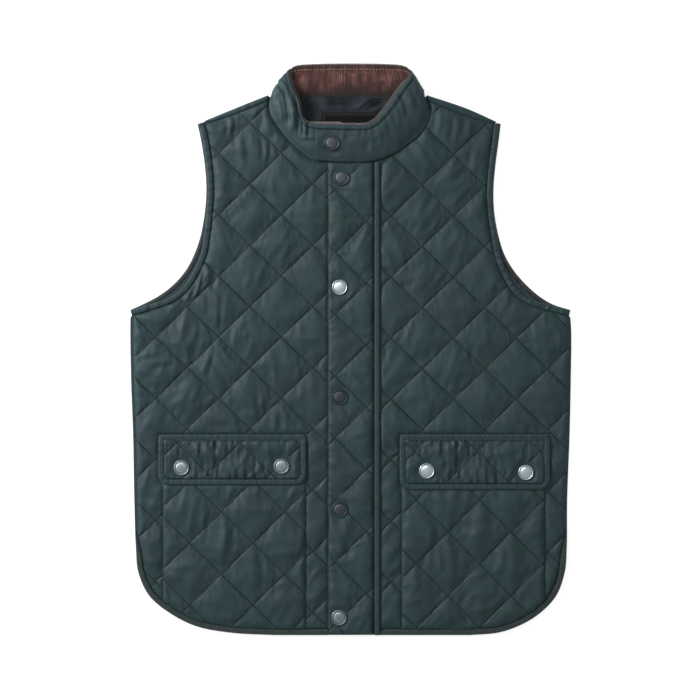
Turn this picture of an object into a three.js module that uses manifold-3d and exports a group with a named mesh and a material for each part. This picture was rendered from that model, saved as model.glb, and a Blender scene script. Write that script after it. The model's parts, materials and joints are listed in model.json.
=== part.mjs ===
// A quilted vest laid flat on its back, its fronts closed by a storm flap with snaps.
// Millimetres: x runs across, y from the hem up to the collar, z up from the surface it lies on.
import * as THREE from "three";
import { mergeVertices } from "three/addons/utils/BufferGeometryUtils.js";
import Module from "manifold-3d";

const wasm = await Module();
wasm.setup();

// Driving dimensions of the cloth
const SEAM_GAP = 0.3;
const BACK_WALL = 2.6;
const LINING_WALL = 0.9;
const STITCHED_WALL = 1.4;
const PRESSED_WALL = 1.6;
const FRONT_PUFF = 2.7;
const TRIM_PUFF = 2.1;
const BINDING_WIDTH = 7.5;
const BINDING_RISE = 3.6;
const SNAP_RADIUS = 9.4;
const SNAP_RISE = 3;
const SNAP_SIDES = 12;
const COLLAR_WALL = 2.5;
const CORDUROY_WALL = 1.2;
const COLLAR_BULGE = 1.6;
// Blocks that only cut reach this far up and down, and start this far below the floor
const CUT_DEPTH = 60;
const CUT_START = -1;

// The neck: its centre, and how far the fronts rise towards it
const NECK = { x: 0, y: 676, liftNear: 95, liftFar: 190, lift: 5.5 };

// Levels that the layers lie on, away from the neck
const FRONT_BASE = BACK_WALL + SEAM_GAP;
const ON_FRONT = FRONT_BASE + PRESSED_WALL + SEAM_GAP;
const ON_POCKET = ON_FRONT + PRESSED_WALL + SEAM_GAP;

// The armhole edges, as distances from the middle of the vest, from the underarm up
const ARMHOLE = [
  { y: 407.5, backLeft: 275.5, backRight: 274, frontLeft: 274, frontRight: 273 },
  { y: 414.5, backLeft: 260, backRight: 252.5, frontLeft: 251, frontRight: 245 },
  { y: 424.5, backLeft: 241, backRight: 236, frontLeft: 224, frontRight: 219 },
  { y: 439, backLeft: 222, backRight: 219.5, frontLeft: 207.5, frontRight: 204.5 },
  { y: 457, backLeft: 206.5, backRight: 204, frontLeft: 196.5, frontRight: 195 },
  { y: 477, backLeft: 196, backRight: 192.5, frontLeft: 188, frontRight: 187.5 },
  { y: 499, backLeft: 188.5, backRight: 185.5, frontLeft: 184, frontRight: 183.5 },
  { y: 529, backLeft: 183, backRight: 180, frontLeft: 180.5, frontRight: 179 },
  { y: 559, backLeft: 181, backRight: 179, frontLeft: 179, frontRight: 178 },
  { y: 589, backLeft: 183, backRight: 181.5, frontLeft: 181, frontRight: 180.5 },
  { y: 619, backLeft: 187.5, backRight: 185.5, frontLeft: 185.5, frontRight: 184.5 },
  { y: 640, backLeft: 192, backRight: 188, frontLeft: 190.5, frontRight: 187 },
];

// The sides and the rounded corners of the hem, from the middle of the hem up
const SIDE = [
  { y: 0, left: 96, right: 150 },
  { y: 3, left: 150, right: 184 },
  { y: 11, left: 193, right: 209 },
  { y: 26, left: 224, right: 235 },
  { y: 49, left: 252, right: 257 },
  { y: 79, left: 266, right: 268 },
  { y: 110, left: 269, right: 270.5 },
  { y: 169, left: 271, right: 271 },
  { y: 250, left: 272.5, right: 274 },
  { y: 320, left: 275, right: 275.5 },
  { y: 382, left: 276, right: 276 },
  { y: 407.5, left: 275.5, right: 274 },
];
const VENT_TOP = 130;
// How far the side edge of each front lies inside the edge of the back
const SIDE_INSET = { left: 4, right: 1.2 };

// The shoulder line and the seam 7 mm in front of it, from the neck out
const SHOULDER = [
  { edgeLeft: -103.5, edgeRight: 95.5, edgeY: 675.4, seamLeft: -104.5, seamRight: 98, seamY: 667.5 },
  { edgeLeft: -145, edgeRight: 145, edgeY: 659, seamLeft: -147, seamRight: 141, seamY: 651 },
  { edgeLeft: -192, edgeRight: 188, edgeY: 640, seamLeft: -181, seamRight: 179, seamY: 640.5 },
];

// The seam of the fronts and the collar, from the left shoulder round the neck to the right one
const NECK_SEAM = [
  { x: -104.5, y: 667.5 },
  { x: -102.3, y: 655 },
  { x: -88, y: 631.5 },
  { x: -64, y: 605.5 },
  { x: -45.5, y: 594.5 },
  { x: -27, y: 592.8 },
  { x: 0, y: 592 },
  { x: 29, y: 593.8 },
  { x: 53.5, y: 603.5 },
  { x: 86.5, y: 626 },
  { x: 101, y: 655 },
  { x: 98, y: 667.5 },
];

// The collar round the neck: the line between its shell and its facing, at the seam and at the top
const COLLAR = [
  { seamX: -12, seamY: 595, seamZ: 8.8, topX: -12, topY: 640, topZ: 14.5 },
  { seamX: -44.3, seamY: 596.4, seamZ: 8.8, topX: -43.4, topY: 640, topZ: 15 },
  { seamX: -61.9, seamY: 607.5, seamZ: 9, topX: -54.5, topY: 641.5, topZ: 16 },
  { seamX: -75.9, seamY: 620.6, seamZ: 9.2, topX: -59.5, topY: 649, topZ: 17 },
  { seamX: -85.9, seamY: 633.1, seamZ: 9.4, topX: -61.8, topY: 659, topZ: 17.5 },
  { seamX: -95.3, seamY: 646.9, seamZ: 9.4, topX: -65.2, topY: 671.4, topZ: 17 },
  { seamX: -99.5, seamY: 659.4, seamZ: 9.2, topX: -70.3, topY: 683, topZ: 15.5 },
  { seamX: -99.3, seamY: 669.4, seamZ: 8.8, topX: -74.4, topY: 696.5, topZ: 13 },
  { seamX: -98.3, seamY: 675, seamZ: 6, topX: -75.5, topY: 707.5, topZ: 8 },
  { seamX: -89, seamY: 673, seamZ: 3.4, topX: -69, topY: 711.8, topZ: 3.6 },
  { seamX: -60, seamY: 672.2, seamZ: 2.9, topX: -50, topY: 713.6, topZ: 2.9 },
  { seamX: -1, seamY: 672, seamZ: 2.9, topX: -1, topY: 714.4, topZ: 2.9 },
  { seamX: 56, seamY: 672.2, seamZ: 2.9, topX: 49, topY: 713.6, topZ: 2.9 },
  { seamX: 81, seamY: 673, seamZ: 3.4, topX: 66, topY: 711.8, topZ: 3.6 },
  { seamX: 90.5, seamY: 674.5, seamZ: 6, topX: 73.5, topY: 707, topZ: 8 },
  { seamX: 93.5, seamY: 668.1, seamZ: 9, topX: 71.5, topY: 696.5, topZ: 13.5 },
  { seamX: 96.6, seamY: 657, seamZ: 9.6, topX: 63.5, topY: 688, topZ: 16 },
  { seamX: 93, seamY: 643, seamZ: 10, topX: 55.9, topY: 677.5, topZ: 18.5 },
  { seamX: 84, seamY: 629, seamZ: 10.4, topX: 47, topY: 664.4, topZ: 19.5 },
  { seamX: 67.8, seamY: 615.6, seamZ: 11, topX: 38.4, topY: 653.1, topZ: 20 },
  { seamX: 52, seamY: 606, seamZ: 11.8, topX: 30.6, topY: 644.6, topZ: 20.5 },
  { seamX: 28.9, seamY: 597, seamZ: 13.4, topX: 20, topY: 638.4, topZ: 20.5 },
  { seamX: -1, seamY: 595, seamZ: 14.2, topX: -1, topY: 637.9, topZ: 20.5 },
  { seamX: -44, seamY: 597.5, seamZ: 14.2, topX: -42.8, topY: 638.7, topZ: 20.5 },
];

// Where each pattern of diamonds has a crossing, and the width and height of one diamond
const DIAMONDS = {
  left: { x: -165.3, y: 373, width: 78.7, height: 76.6 },
  right: { x: 50.7, y: 371.6, width: 78.2, height: 76.4 },
  placket: { x: -19.3, y: 401.5, width: 78, height: 77.5 },
  pocketLeft: { x: -161.6, y: 154.6, width: 79.4, height: 78 },
  pocketRight: { x: 121.8, y: 129.5, width: 79, height: 80 },
  flapLeft: { x: -138.4, y: 240.6, width: 78.7, height: 76.6 },
  flapRight: { x: 158.9, y: 230, width: 78.2, height: 76.4 },
};
// One diamond is cut at these shares of its side, and puffs up by these shares of the height
const PUFF_STEPS = [
  { at: 0, rise: 0 },
  { at: 0.22, rise: 0.95 },
  { at: 0.78, rise: 0.95 },
];
const PLAIN_STEPS = [{ at: 0, rise: 0 }, { at: 0.5, rise: 0 }];
const PLAIN_GRID = { x: 0, y: 0, width: 60, height: 60 };

const PLACKET = { left: -28, right: 29, edge: 37, top: 591.5, bottom: 0.5, frontsMeet: 2 };
const POCKETS = {
  left: { outer: -234.7, inner: -56.2, top: 240 },
  right: { outer: 243, inner: 64, top: 240 },
};
const FLAPS = {
  left: { low: -240.8, high: -55, top: 251.8, bottom: 188, corner: 11 },
  right: { low: 61, high: 249.4, top: 252, bottom: 182, corner: 11 },
};
const SNAPS = [
  { name: "snap_placket_1", on: "placket", x: -11.6, y: 571.9 },
  { name: "snap_placket_2", on: "placket", x: -13.8, y: 435.4 },
  { name: "snap_placket_3", on: "placket", x: -13.8, y: 298.1 },
  { name: "snap_placket_4", on: "placket", x: -13.8, y: 157.5 },
  { name: "snap_placket_5", on: "placket", x: -14.7, y: 22.6 },
  { name: "snap_flap_left_outer", on: "flap_left", x: -211.6, y: 210 },
  { name: "snap_flap_left_inner", on: "flap_left", x: -86.6, y: 211.8 },
  { name: "snap_flap_right_inner", on: "flap_right", x: 94.9, y: 206 },
  { name: "snap_flap_right_outer", on: "flap_right", x: 218.6, y: 204 },
];
const COLLAR_SNAP = { name: "snap_collar", x: -23.4, y: 614.4 };
const LABEL = { left: -36, right: 35, low: 612, high: 654, wall: 0.7 };
const HALF_MOON = { halfWidth: 88, depth: 84, top: 671 };
const BACK_NECK = { left: -99, right: 90, y: 671.6 };

// Colours and finishes
const NYLON = new THREE.MeshStandardMaterial({ color: 0x3c4a4c, roughness: 0.55, metalness: 0 });
const TAPE = new THREE.MeshStandardMaterial({ color: 0x464b4e, roughness: 0.7, metalness: 0 });
const LINING = new THREE.MeshStandardMaterial({ color: 0x262e36, roughness: 0.6, metalness: 0 });
const CORDUROY = new THREE.MeshStandardMaterial({ color: 0x4e3430, roughness: 0.95, metalness: 0 });
const LABEL_CLOTH = new THREE.MeshStandardMaterial({ color: 0x17181a, roughness: 0.8, metalness: 0 });
const METAL = new THREE.MeshStandardMaterial({ color: 0x8a8f91, roughness: 0.35, metalness: 0.9 });

const vest = new THREE.Group();
const solids = {};

// A smooth curve through points, with a few steps between each pair
function smooth(points, steps) {
  return new THREE.SplineCurve(points).getPoints((points.length - 1) * steps);
}

function between(from, to, share) {
  return from + (to - from) * share;
}

// How far the cloth rises at a place, because the collar holds the neck up
function liftAt(x, y) {
  const distance = Math.hypot(x - NECK.x, y - NECK.y);
  return NECK.lift * (1 - THREE.MathUtils.smoothstep(distance, NECK.liftNear, NECK.liftFar));
}

// A closed mesh as a solid, turned outward if its faces point in
function solidOf(positions, triangles) {
  const mesh = {
    numProp: 3,
    vertProperties: new Float32Array(positions),
    triVerts: new Uint32Array(triangles),
  };
  let volume = 0;
  const corner = new THREE.Vector3();
  const [a, b, c] = [new THREE.Vector3(), new THREE.Vector3(), new THREE.Vector3()];
  for (let i = 0; i < triangles.length; i += 3) {
    a.fromArray(mesh.vertProperties, triangles[i] * 3);
    b.fromArray(mesh.vertProperties, triangles[i + 1] * 3);
    c.fromArray(mesh.vertProperties, triangles[i + 2] * 3);
    volume += a.dot(corner.crossVectors(b, c));
  }
  if (volume < 0) {
    mesh.triVerts.reverse();
  }
  return new wasm.Manifold(new wasm.Mesh(mesh));
}

function solidFromGeometry(geometry) {
  geometry.deleteAttribute("normal");
  geometry.deleteAttribute("uv");
  const merged = mergeVertices(geometry, 0.001);
  return solidOf(merged.attributes.position.array, merged.index.array);
}

// An upright block over a flat outline
function prism(outline, low, high) {
  const geometry = new THREE.ExtrudeGeometry(new THREE.Shape(outline), {
    depth: high - low,
    bevelEnabled: false,
  });
  return solidFromGeometry(geometry.translate(0, 0, low));
}

function outlineBox(outline) {
  return new THREE.Box2().setFromPoints(outline);
}

// A closed block from rings of points, each ring with the same number of points
function loft(rings, closed) {
  const around = rings[0].length;
  const triangles = [];
  const count = closed ? rings.length : rings.length - 1;
  for (let i = 0; i < count; i += 1) {
    const here = i * around;
    const next = ((i + 1) % rings.length) * around;
    for (let j = 0; j < around; j += 1) {
      const k = (j + 1) % around;
      triangles.push(here + j, next + j, next + k, here + j, next + k, here + k);
    }
  }
  if (!closed) {
    const last = (rings.length - 1) * around;
    const half = around / 2;
    for (let j = 0; j < half - 1; j += 1) {
      const far = around - 1 - j;
      triangles.push(j, j + 1, far - 1, j, far - 1, far);
      triangles.push(last + j, last + far - 1, last + j + 1, last + j, last + far, last + far - 1);
    }
  }
  return solidOf(rings.flat().flatMap((p) => [p.x, p.y, p.z]), triangles);
}

// Everything under a surface worked out on a grid of diamonds, over the box of an outline
function under(outline, diamonds, steps, height) {
  const box = outlineBox(outline);
  const corners = [box.min.x, box.max.x].flatMap((x) => [box.min.y, box.max.y].map((y) => ({ x, y })));
  const across = corners.map((p) => (p.x - diamonds.x) / diamonds.width);
  const along = corners.map((p) => (p.y - diamonds.y) / diamonds.height);
  const rising = across.map((value, i) => value + along[i]);
  const falling = across.map((value, i) => value - along[i]);
  const cuts = (values) => {
    const list = [];
    for (let whole = Math.floor(Math.min(...values)) - 1; whole <= Math.max(...values) + 1; whole += 1) {
      steps.forEach((step) => list.push({ at: whole + step.at, rise: step.rise }));
    }
    return list;
  };
  const risingCuts = cuts(rising);
  const fallingCuts = cuts(falling);
  const rings = risingCuts.map((u) => {
    const row = fallingCuts.map((v) => {
      const x = diamonds.x + (diamonds.width * (u.at + v.at)) / 2;
      const y = diamonds.y + (diamonds.height * (u.at - v.at)) / 2;
      return new THREE.Vector3(x, y, height(x, y, u.rise * v.rise));
    });
    const floor = row.map((p) => new THREE.Vector3(p.x, p.y, -CUT_DEPTH)).reverse();
    return [...row, ...floor];
  });
  return loft(rings, false);
}

// A wall of cloth: an outline between the level it lies on and its quilted top
function quilted(outline, diamonds, level, puff) {
  const block = prism(outline, CUT_START, CUT_DEPTH);
  const top = under(outline, diamonds, PUFF_STEPS, (x, y, rise) => {
    return level + STITCHED_WALL + puff * rise + liftAt(x, y);
  });
  return block.intersect(top).subtract(pressed(outline, level));
}

// Everything below a plain level that rises towards the neck
function pressed(outline, level) {
  const box = outlineBox(outline).expandByScalar(PLAIN_GRID.width);
  const plain = prism(rectangle(box.min.x, box.max.x, box.min.y, box.max.y), -CUT_DEPTH, level);
  const reach = NECK.liftFar;
  const rising = new THREE.Box2(
    new THREE.Vector2(NECK.x - reach, NECK.y - reach),
    new THREE.Vector2(NECK.x + reach, NECK.y + reach),
  ).intersect(box);
  if (rising.isEmpty()) {
    return plain;
  }
  const hill = under([rising.min, rising.max], PLAIN_GRID, PLAIN_STEPS, (x, y) => level + liftAt(x, y));
  return plain.add(hill);
}

// Everything above that level inside an outline, to be cut away where another layer lies on it
function above(outline, level) {
  return prism(outline, CUT_START, CUT_DEPTH).subtract(pressed(outline, level));
}

// A point of a path moved to its left by a distance
function besidePath(path, i, distance, closed) {
  const last = path.length - 1;
  const before = path[i === 0 ? (closed ? last : 0) : i - 1];
  const after = path[i === last ? (closed ? 0 : last) : i + 1];
  const way = new THREE.Vector2().subVectors(after, before).normalize();
  return new THREE.Vector2(path[i].x - way.y * distance, path[i].y + way.x * distance);
}

function offset(path, distance, closed = false) {
  return path.map((_, i) => besidePath(path, i, distance, closed));
}

// The strip of ground along a path, from a little outside it to a distance on its left
function band(path, inside) {
  return [...offset(path, -BINDING_WIDTH), ...offset(path, inside).reverse()];
}

// A binding: a folded tape along a path, lying on its left, with a rounded top
function binding(path, low, rise, closed = false) {
  const profile = [
    { across: 0, up: 0 },
    { across: 0, up: 0.7 },
    { across: 0.14, up: 1 },
    { across: 0.86, up: 1 },
    { across: 1, up: 0.75 },
    { across: 1, up: 0 },
  ];
  const rings = path.map((_, i) => profile.map((corner) => {
    const place = besidePath(path, i, corner.across * BINDING_WIDTH, closed);
    const floor = low(place.x, place.y) + liftAt(place.x, place.y);
    return new THREE.Vector3(place.x, place.y, floor + corner.up * rise);
  }));
  return loft(rings, closed);
}

function rectangle(left, right, bottom, top) {
  return [
    new THREE.Vector2(left, bottom),
    new THREE.Vector2(right, bottom),
    new THREE.Vector2(right, top),
    new THREE.Vector2(left, top),
  ];
}

// A rectangle whose corners are arcs, counter-clockwise
function rounded(left, right, bottom, top, radius) {
  const corners = [
    { x: right - radius, y: top - radius, start: 0 },
    { x: left + radius, y: top - radius, start: Math.PI / 2 },
    { x: left + radius, y: bottom + radius, start: Math.PI },
    { x: right - radius, y: bottom + radius, start: Math.PI * 1.5 },
  ];
  const turns = [0, 0.25, 0.5, 0.75, 1];
  return corners.flatMap((corner) => turns.map((turn) => {
    const angle = corner.start + (turn * Math.PI) / 2;
    return new THREE.Vector2(corner.x + radius * Math.cos(angle), corner.y + radius * Math.sin(angle));
  }));
}

// The edges of one half, as paths from the hem up
function armholePath(side, layer) {
  const column = layer + (side < 0 ? "Left" : "Right");
  return smooth(ARMHOLE.map((row) => new THREE.Vector2(side * row[column], row.y)), 2);
}

function sidePath(side) {
  const column = side < 0 ? "left" : "right";
  return smooth(SIDE.map((row) => new THREE.Vector2(side * row[column], row.y)), 2);
}

function shoulderPath(side, kind) {
  const column = kind + (side < 0 ? "Left" : "Right");
  return SHOULDER.map((row) => new THREE.Vector2(row[column], row[`${kind}Y`]));
}

// The hem from a place near the middle, round the corner and up to the top of the vent
function hemPath(side, from) {
  const corner = sidePath(side).filter((p) => p.y < VENT_TOP);
  return [new THREE.Vector2(from, 0), ...corner];
}

// The edge that a binding follows, in the direction that keeps the cloth on its left
function clothOnLeft(path, side) {
  return side > 0 ? path : [...path].reverse();
}

function add(name, solid, material) {
  const mesh = solid.getMesh();
  const geometry = new THREE.BufferGeometry();
  geometry.setAttribute("position", new THREE.BufferAttribute(mesh.vertProperties, 3));
  geometry.setIndex(new THREE.BufferAttribute(mesh.triVerts, 1));
  const piece = new THREE.Mesh(geometry, material);
  piece.name = name;
  vest.add(piece);
}

// The back: a plain slab whose shoulders fold forward over the shoulder line
function buildBack() {
  const half = (side) => [...sidePath(side), ...armholePath(side, "back").slice(1)];
  const shoulder = (side) => shoulderPath(side, "edge").reverse().slice(1);
  const neck = [BACK_NECK.right, BACK_NECK.left].map((x) => new THREE.Vector2(x, BACK_NECK.y));
  const outline = [...half(1), ...shoulder(1), ...neck, ...shoulder(-1).reverse(), ...half(-1).reverse()];
  let slab = prism(outline, 0, BACK_WALL);
  const hem = [...hemPath(-1, 0).reverse(), ...hemPath(1, 0).slice(1)];
  slab = slab.subtract(prism(band(hem, BINDING_WIDTH + SEAM_GAP), CUT_START, BACK_WALL - CUT_START));
  add("hem_binding_back", binding(hem, () => 0, BACK_WALL), TAPE);
  [-1, 1].forEach((side) => {
    const edge = clothOnLeft(armholePath(side, "back"), side);
    slab = slab.subtract(prism(band(edge, BINDING_WIDTH + SEAM_GAP), CUT_START, BACK_WALL - CUT_START));
    add(`armhole_binding_back_${side < 0 ? "left" : "right"}`, binding(edge, () => 0, BACK_WALL), TAPE);
    slab = slab.add(shoulderFold(side));
  });
  add("back_panel", slab, NYLON);
}

// The roll of the back that shows in front of the shoulder line, up to the armhole binding
function shoulderFold(side) {
  const edge = shoulderPath(side, "edge");
  const seam = shoulderPath(side, "seam");
  const stations = [0, 0.5, 1, 1.45, 1.74];
  const buried = BACK_WALL / 2;
  const rings = stations.map((station) => {
    const row = Math.min(Math.floor(station), SHOULDER.length - 2);
    const share = station - row;
    const outer = edge[row].clone().lerp(edge[row + 1], share);
    const inner = seam[row].clone().lerp(seam[row + 1], share);
    const top = FRONT_BASE + STITCHED_WALL + TRIM_PUFF + liftAt(inner.x, inner.y);
    const shares = [
      { across: 0, z: buried },
      { across: 0, z: between(BACK_WALL, top, 0.6) },
      { across: 0.25, z: top },
      { across: 0.7, z: top },
      { across: 0.94, z: top - 0.8 },
      { across: 0.94, z: buried },
    ];
    return shares.map((corner) => {
      const place = outer.clone().lerp(inner, corner.across);
      return new THREE.Vector3(place.x, place.y, corner.z);
    });
  });
  return loft(rings, false);
}

function buildFront(side) {
  const hand = side < 0 ? "left" : "right";
  const middle = (side * PLACKET.frontsMeet) / 2;
  const edge = offset(clothOnLeft(sidePath(side), side), SIDE_INSET[hand]);
  const seam = smooth(NECK_SEAM.map((p) => new THREE.Vector2(p.x, p.y)), 2);
  const neck = seam.filter((p) => (p.x - middle) * side > 0);
  const neckOut = side < 0 ? neck.reverse() : neck;
  neckOut.unshift(new THREE.Vector2(middle, PLACKET.top + SEAM_GAP));
  const armhole = armholePath(side, "front");
  const sideUp = (side > 0 ? edge : edge.reverse()).filter((p) => p.y < ARMHOLE[0].y - BINDING_WIDTH);
  const shoulder = shoulderPath(side, "seam").slice(1).reverse();
  const outline = [new THREE.Vector2(middle, 0), ...sideUp, ...armhole, ...shoulder, ...neckOut.reverse()];
  let front = quilted(outline, DIAMONDS[hand], FRONT_BASE, FRONT_PUFF);
  const armholeEdge = clothOnLeft(armhole, side);
  const placketEdge = side < 0 ? PLACKET.left - SEAM_GAP : PLACKET.edge + SEAM_GAP;
  const hemEdge = clothOnLeft(hemPath(side, placketEdge), side);
  [armholeEdge, hemEdge].forEach((path) => {
    front = front.subtract(prism(band(path, BINDING_WIDTH + SEAM_GAP), CUT_START, CUT_DEPTH));
  });
  add(`armhole_binding_front_${hand}`, binding(armholeEdge, () => FRONT_BASE, BINDING_RISE), TAPE);
  add(`hem_binding_front_${hand}`, binding(hemEdge, () => FRONT_BASE, BINDING_RISE), TAPE);
  const covers = [
    rectangle(PLACKET.left - SEAM_GAP, PLACKET.edge + SEAM_GAP, -BINDING_WIDTH, NECK.y),
    pocketOutline(side, SEAM_GAP),
    flapOutline(side, -SEAM_GAP),
  ];
  covers.forEach((cover) => {
    front = front.subtract(above(cover, FRONT_BASE + PRESSED_WALL));
  });
  add(`front_${hand}`, front, NYLON);
}

function pocketOutline(side, spare) {
  const pocket = POCKETS[side < 0 ? "left" : "right"];
  const left = Math.min(pocket.outer, pocket.inner) - spare;
  const right = Math.max(pocket.outer, pocket.inner) + spare;
  return rectangle(left, right, -BINDING_WIDTH, pocket.top + spare);
}

function flapOutline(side, inset) {
  const flap = FLAPS[side < 0 ? "left" : "right"];
  const radius = flap.corner - inset;
  return rounded(flap.low + inset, flap.high - inset, flap.bottom + inset, flap.top - inset, radius);
}

// A pocket: sewn on the front down to the hem, and pressed flat under its flap
function buildPocket(side) {
  const hand = side < 0 ? "left" : "right";
  const hem = clothOnLeft(hemPath(side, 0), side);
  const pattern = DIAMONDS[side < 0 ? "pocketLeft" : "pocketRight"];
  const whole = [new THREE.Vector2(0, 0), ...sidePath(side), new THREE.Vector2(0, ARMHOLE[0].y)];
  const pocket = quilted(pocketOutline(side, 0), pattern, ON_FRONT, TRIM_PUFF)
    .intersect(prism(whole, CUT_START, CUT_DEPTH))
    .subtract(prism(band(hem, BINDING_WIDTH + SEAM_GAP), CUT_START, CUT_DEPTH))
    .subtract(above(flapOutline(side, -SEAM_GAP), ON_FRONT + PRESSED_WALL));
  add(`pocket_${hand}`, pocket, NYLON);
}

// A flap: a bound panel over the top of the pocket, sewn to the front along its top
function buildFlap(side) {
  const hand = side < 0 ? "left" : "right";
  const pattern = DIAMONDS[side < 0 ? "flapLeft" : "flapRight"];
  const panel = quilted(flapOutline(side, BINDING_WIDTH + SEAM_GAP), pattern, ON_POCKET, TRIM_PUFF);
  solids[`flap_${hand}`] = panel;
  const pocketTop = POCKETS[hand].top;
  const step = (y) => THREE.MathUtils.smoothstep(y, pocketTop + 1, pocketTop + 4);
  const low = (x, y) => between(ON_POCKET, ON_FRONT, step(y));
  add(`flap_binding_${hand}`, binding(flapOutline(side, 0), low, BINDING_RISE, true), TAPE);
}

// The storm flap over the closed fronts, with a bound edge on the image's right
function buildPlacket() {
  const outline = rectangle(PLACKET.left, PLACKET.right, PLACKET.bottom, PLACKET.top);
  solids.placket = quilted(outline, DIAMONDS.placket, ON_FRONT, TRIM_PUFF);
  const stations = [0, 0.2, 0.4, 0.6, 0.75, 0.83, 0.88, 0.92, 0.96, 1];
  const edge = stations.map((share) => {
    return new THREE.Vector2(PLACKET.edge, between(PLACKET.bottom, PLACKET.top, share));
  });
  add("placket_binding", binding(edge, () => ON_FRONT, BINDING_RISE), TAPE);
}

// A snap cap: a dome in a raised ring
function snapCap(x, y, z) {
  const ring = [
    { out: 0, up: 0 },
    { out: 0.97, up: 0 },
    { out: 1, up: 0.35 },
    { out: 0.9, up: 0.85 },
    { out: 0.7, up: 0.75 },
    { out: 0.4, up: 0.95 },
    { out: 0, up: 1 },
  ];
  const profile = ring.map((p) => new THREE.Vector2(p.out * SNAP_RADIUS, p.up * SNAP_RISE));
  const geometry = new THREE.LatheGeometry(profile, SNAP_SIDES);
  return solidFromGeometry(geometry.rotateX(Math.PI / 2).translate(x, y, z));
}

// A cloth solid pressed flat where a snap sits on it, with the snap added
function seatSnap(snap, cloth, seat) {
  const radius = SNAP_RADIUS + SEAM_GAP;
  const cut = new THREE.CylinderGeometry(radius, radius, CUT_DEPTH, SNAP_SIDES);
  cut.rotateX(Math.PI / 2).translate(snap.x, snap.y, seat + CUT_DEPTH / 2);
  add(snap.name, snapCap(snap.x, snap.y, seat + SEAM_GAP), METAL);
  return cloth.subtract(solidFromGeometry(cut));
}

function buildSnaps() {
  const levels = { placket: ON_FRONT, flap_left: ON_POCKET, flap_right: ON_POCKET };
  SNAPS.forEach((snap) => {
    const seat = levels[snap.on] + PRESSED_WALL + liftAt(snap.x, snap.y);
    solids[snap.on] = seatSnap(snap, solids[snap.on], seat);
  });
  add("placket", solids.placket, NYLON);
  add("flap_left", solids.flap_left, NYLON);
  add("flap_right", solids.flap_right, NYLON);
}

// The collar: one band that runs from under the tab round the back of the neck to the tab's end
function collarPoint(around, up) {
  const seam = collarCurve("seam").getPoint(around);
  const top = collarCurve("top").getPoint(around);
  return seam.lerp(top, up);
}

function collarCurve(kind) {
  return new THREE.CatmullRomCurve3(COLLAR.map((row) => {
    return new THREE.Vector3(row[`${kind}X`], row[`${kind}Y`], row[`${kind}Z`]);
  }));
}

function collarBand(near, far) {
  const rings = [];
  const rows = (COLLAR.length - 1) * 2;
  const ups = [0, 0.33, 0.67, 1];
  const step = 0.25 / (COLLAR.length - 1);
  for (let i = 0; i <= rows; i += 1) {
    const around = i / rows;
    const ahead = collarPoint(Math.min(around + step, 1), 0.5);
    const way = ahead.sub(collarPoint(Math.max(around - step, 0), 0.5));
    const rise = collarPoint(around, 1).sub(collarPoint(around, 0));
    const outward = new THREE.Vector3().crossVectors(rise, way).normalize();
    const frontShare = THREE.MathUtils.clamp(outward.z, 0, 1);
    const side = (distance) => ups.map((up) => {
      const bulge = COLLAR_BULGE * frontShare * Math.sin(up * Math.PI);
      return collarPoint(around, up).addScaledVector(outward, distance + bulge);
    });
    rings.push([...side(near), ...side(far).reverse()]);
  }
  return loft(rings, false);
}

function buildCollar() {
  const half = SEAM_GAP / 2;
  const tab = COLLAR.at(-1);
  const tabTop = (tab.seamZ + tab.topZ) / 2 + COLLAR_BULGE + half + COLLAR_WALL;
  const shell = collarBand(half, half + COLLAR_WALL);
  add("collar", seatSnap(COLLAR_SNAP, shell, tabTop - PRESSED_WALL / 2), NYLON);
  add("collar_facing", collarBand(-half, -half - CORDUROY_WALL), CORDUROY);
}

// The half-moon of lining that shows in the neck opening, with its bare label
function buildLining() {
  const middle = (LABEL.left + LABEL.right) / 2;
  const { halfWidth, depth, top } = HALF_MOON;
  const curve = new THREE.EllipseCurve(middle, top, halfWidth, depth, Math.PI, Math.PI * 2);
  add("neck_lining", prism(curve.getPoints(24), FRONT_BASE, FRONT_BASE + LINING_WALL), LINING);
  const level = FRONT_BASE + LINING_WALL + SEAM_GAP;
  const outline = rectangle(LABEL.left, LABEL.right, LABEL.low, LABEL.high);
  add("neck_label", prism(outline, level, level + LABEL.wall), LABEL_CLOTH);
}

buildBack();
buildLining();
[-1, 1].forEach((side) => {
  buildFront(side);
  buildPocket(side);
  buildFlap(side);
});
buildPlacket();
buildSnaps();
buildCollar();

// The origin is the middle of the underside
const extent = new THREE.Box3().setFromObject(vest);
const centre = extent.getCenter(new THREE.Vector3());
vest.position.set(-centre.x, -centre.y, -extent.min.z);

export default vest;
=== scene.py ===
"""A quilted vest laid flat on its back: quilted nylon, tape bindings, a corduroy collar and snaps.

Shapes are worked out in the vest's own millimetres: x across, y from the hem up to the collar, z up
from the floor. They are turned into metres of the row frame when a mesh is made.
"""

import json
import logging
from dataclasses import dataclass, field, replace
from enum import Enum
from typing import Callable, Union

import bpy
import numpy as np
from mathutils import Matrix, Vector
from mathutils.geometry import delaunay_2d_cdt

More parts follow.
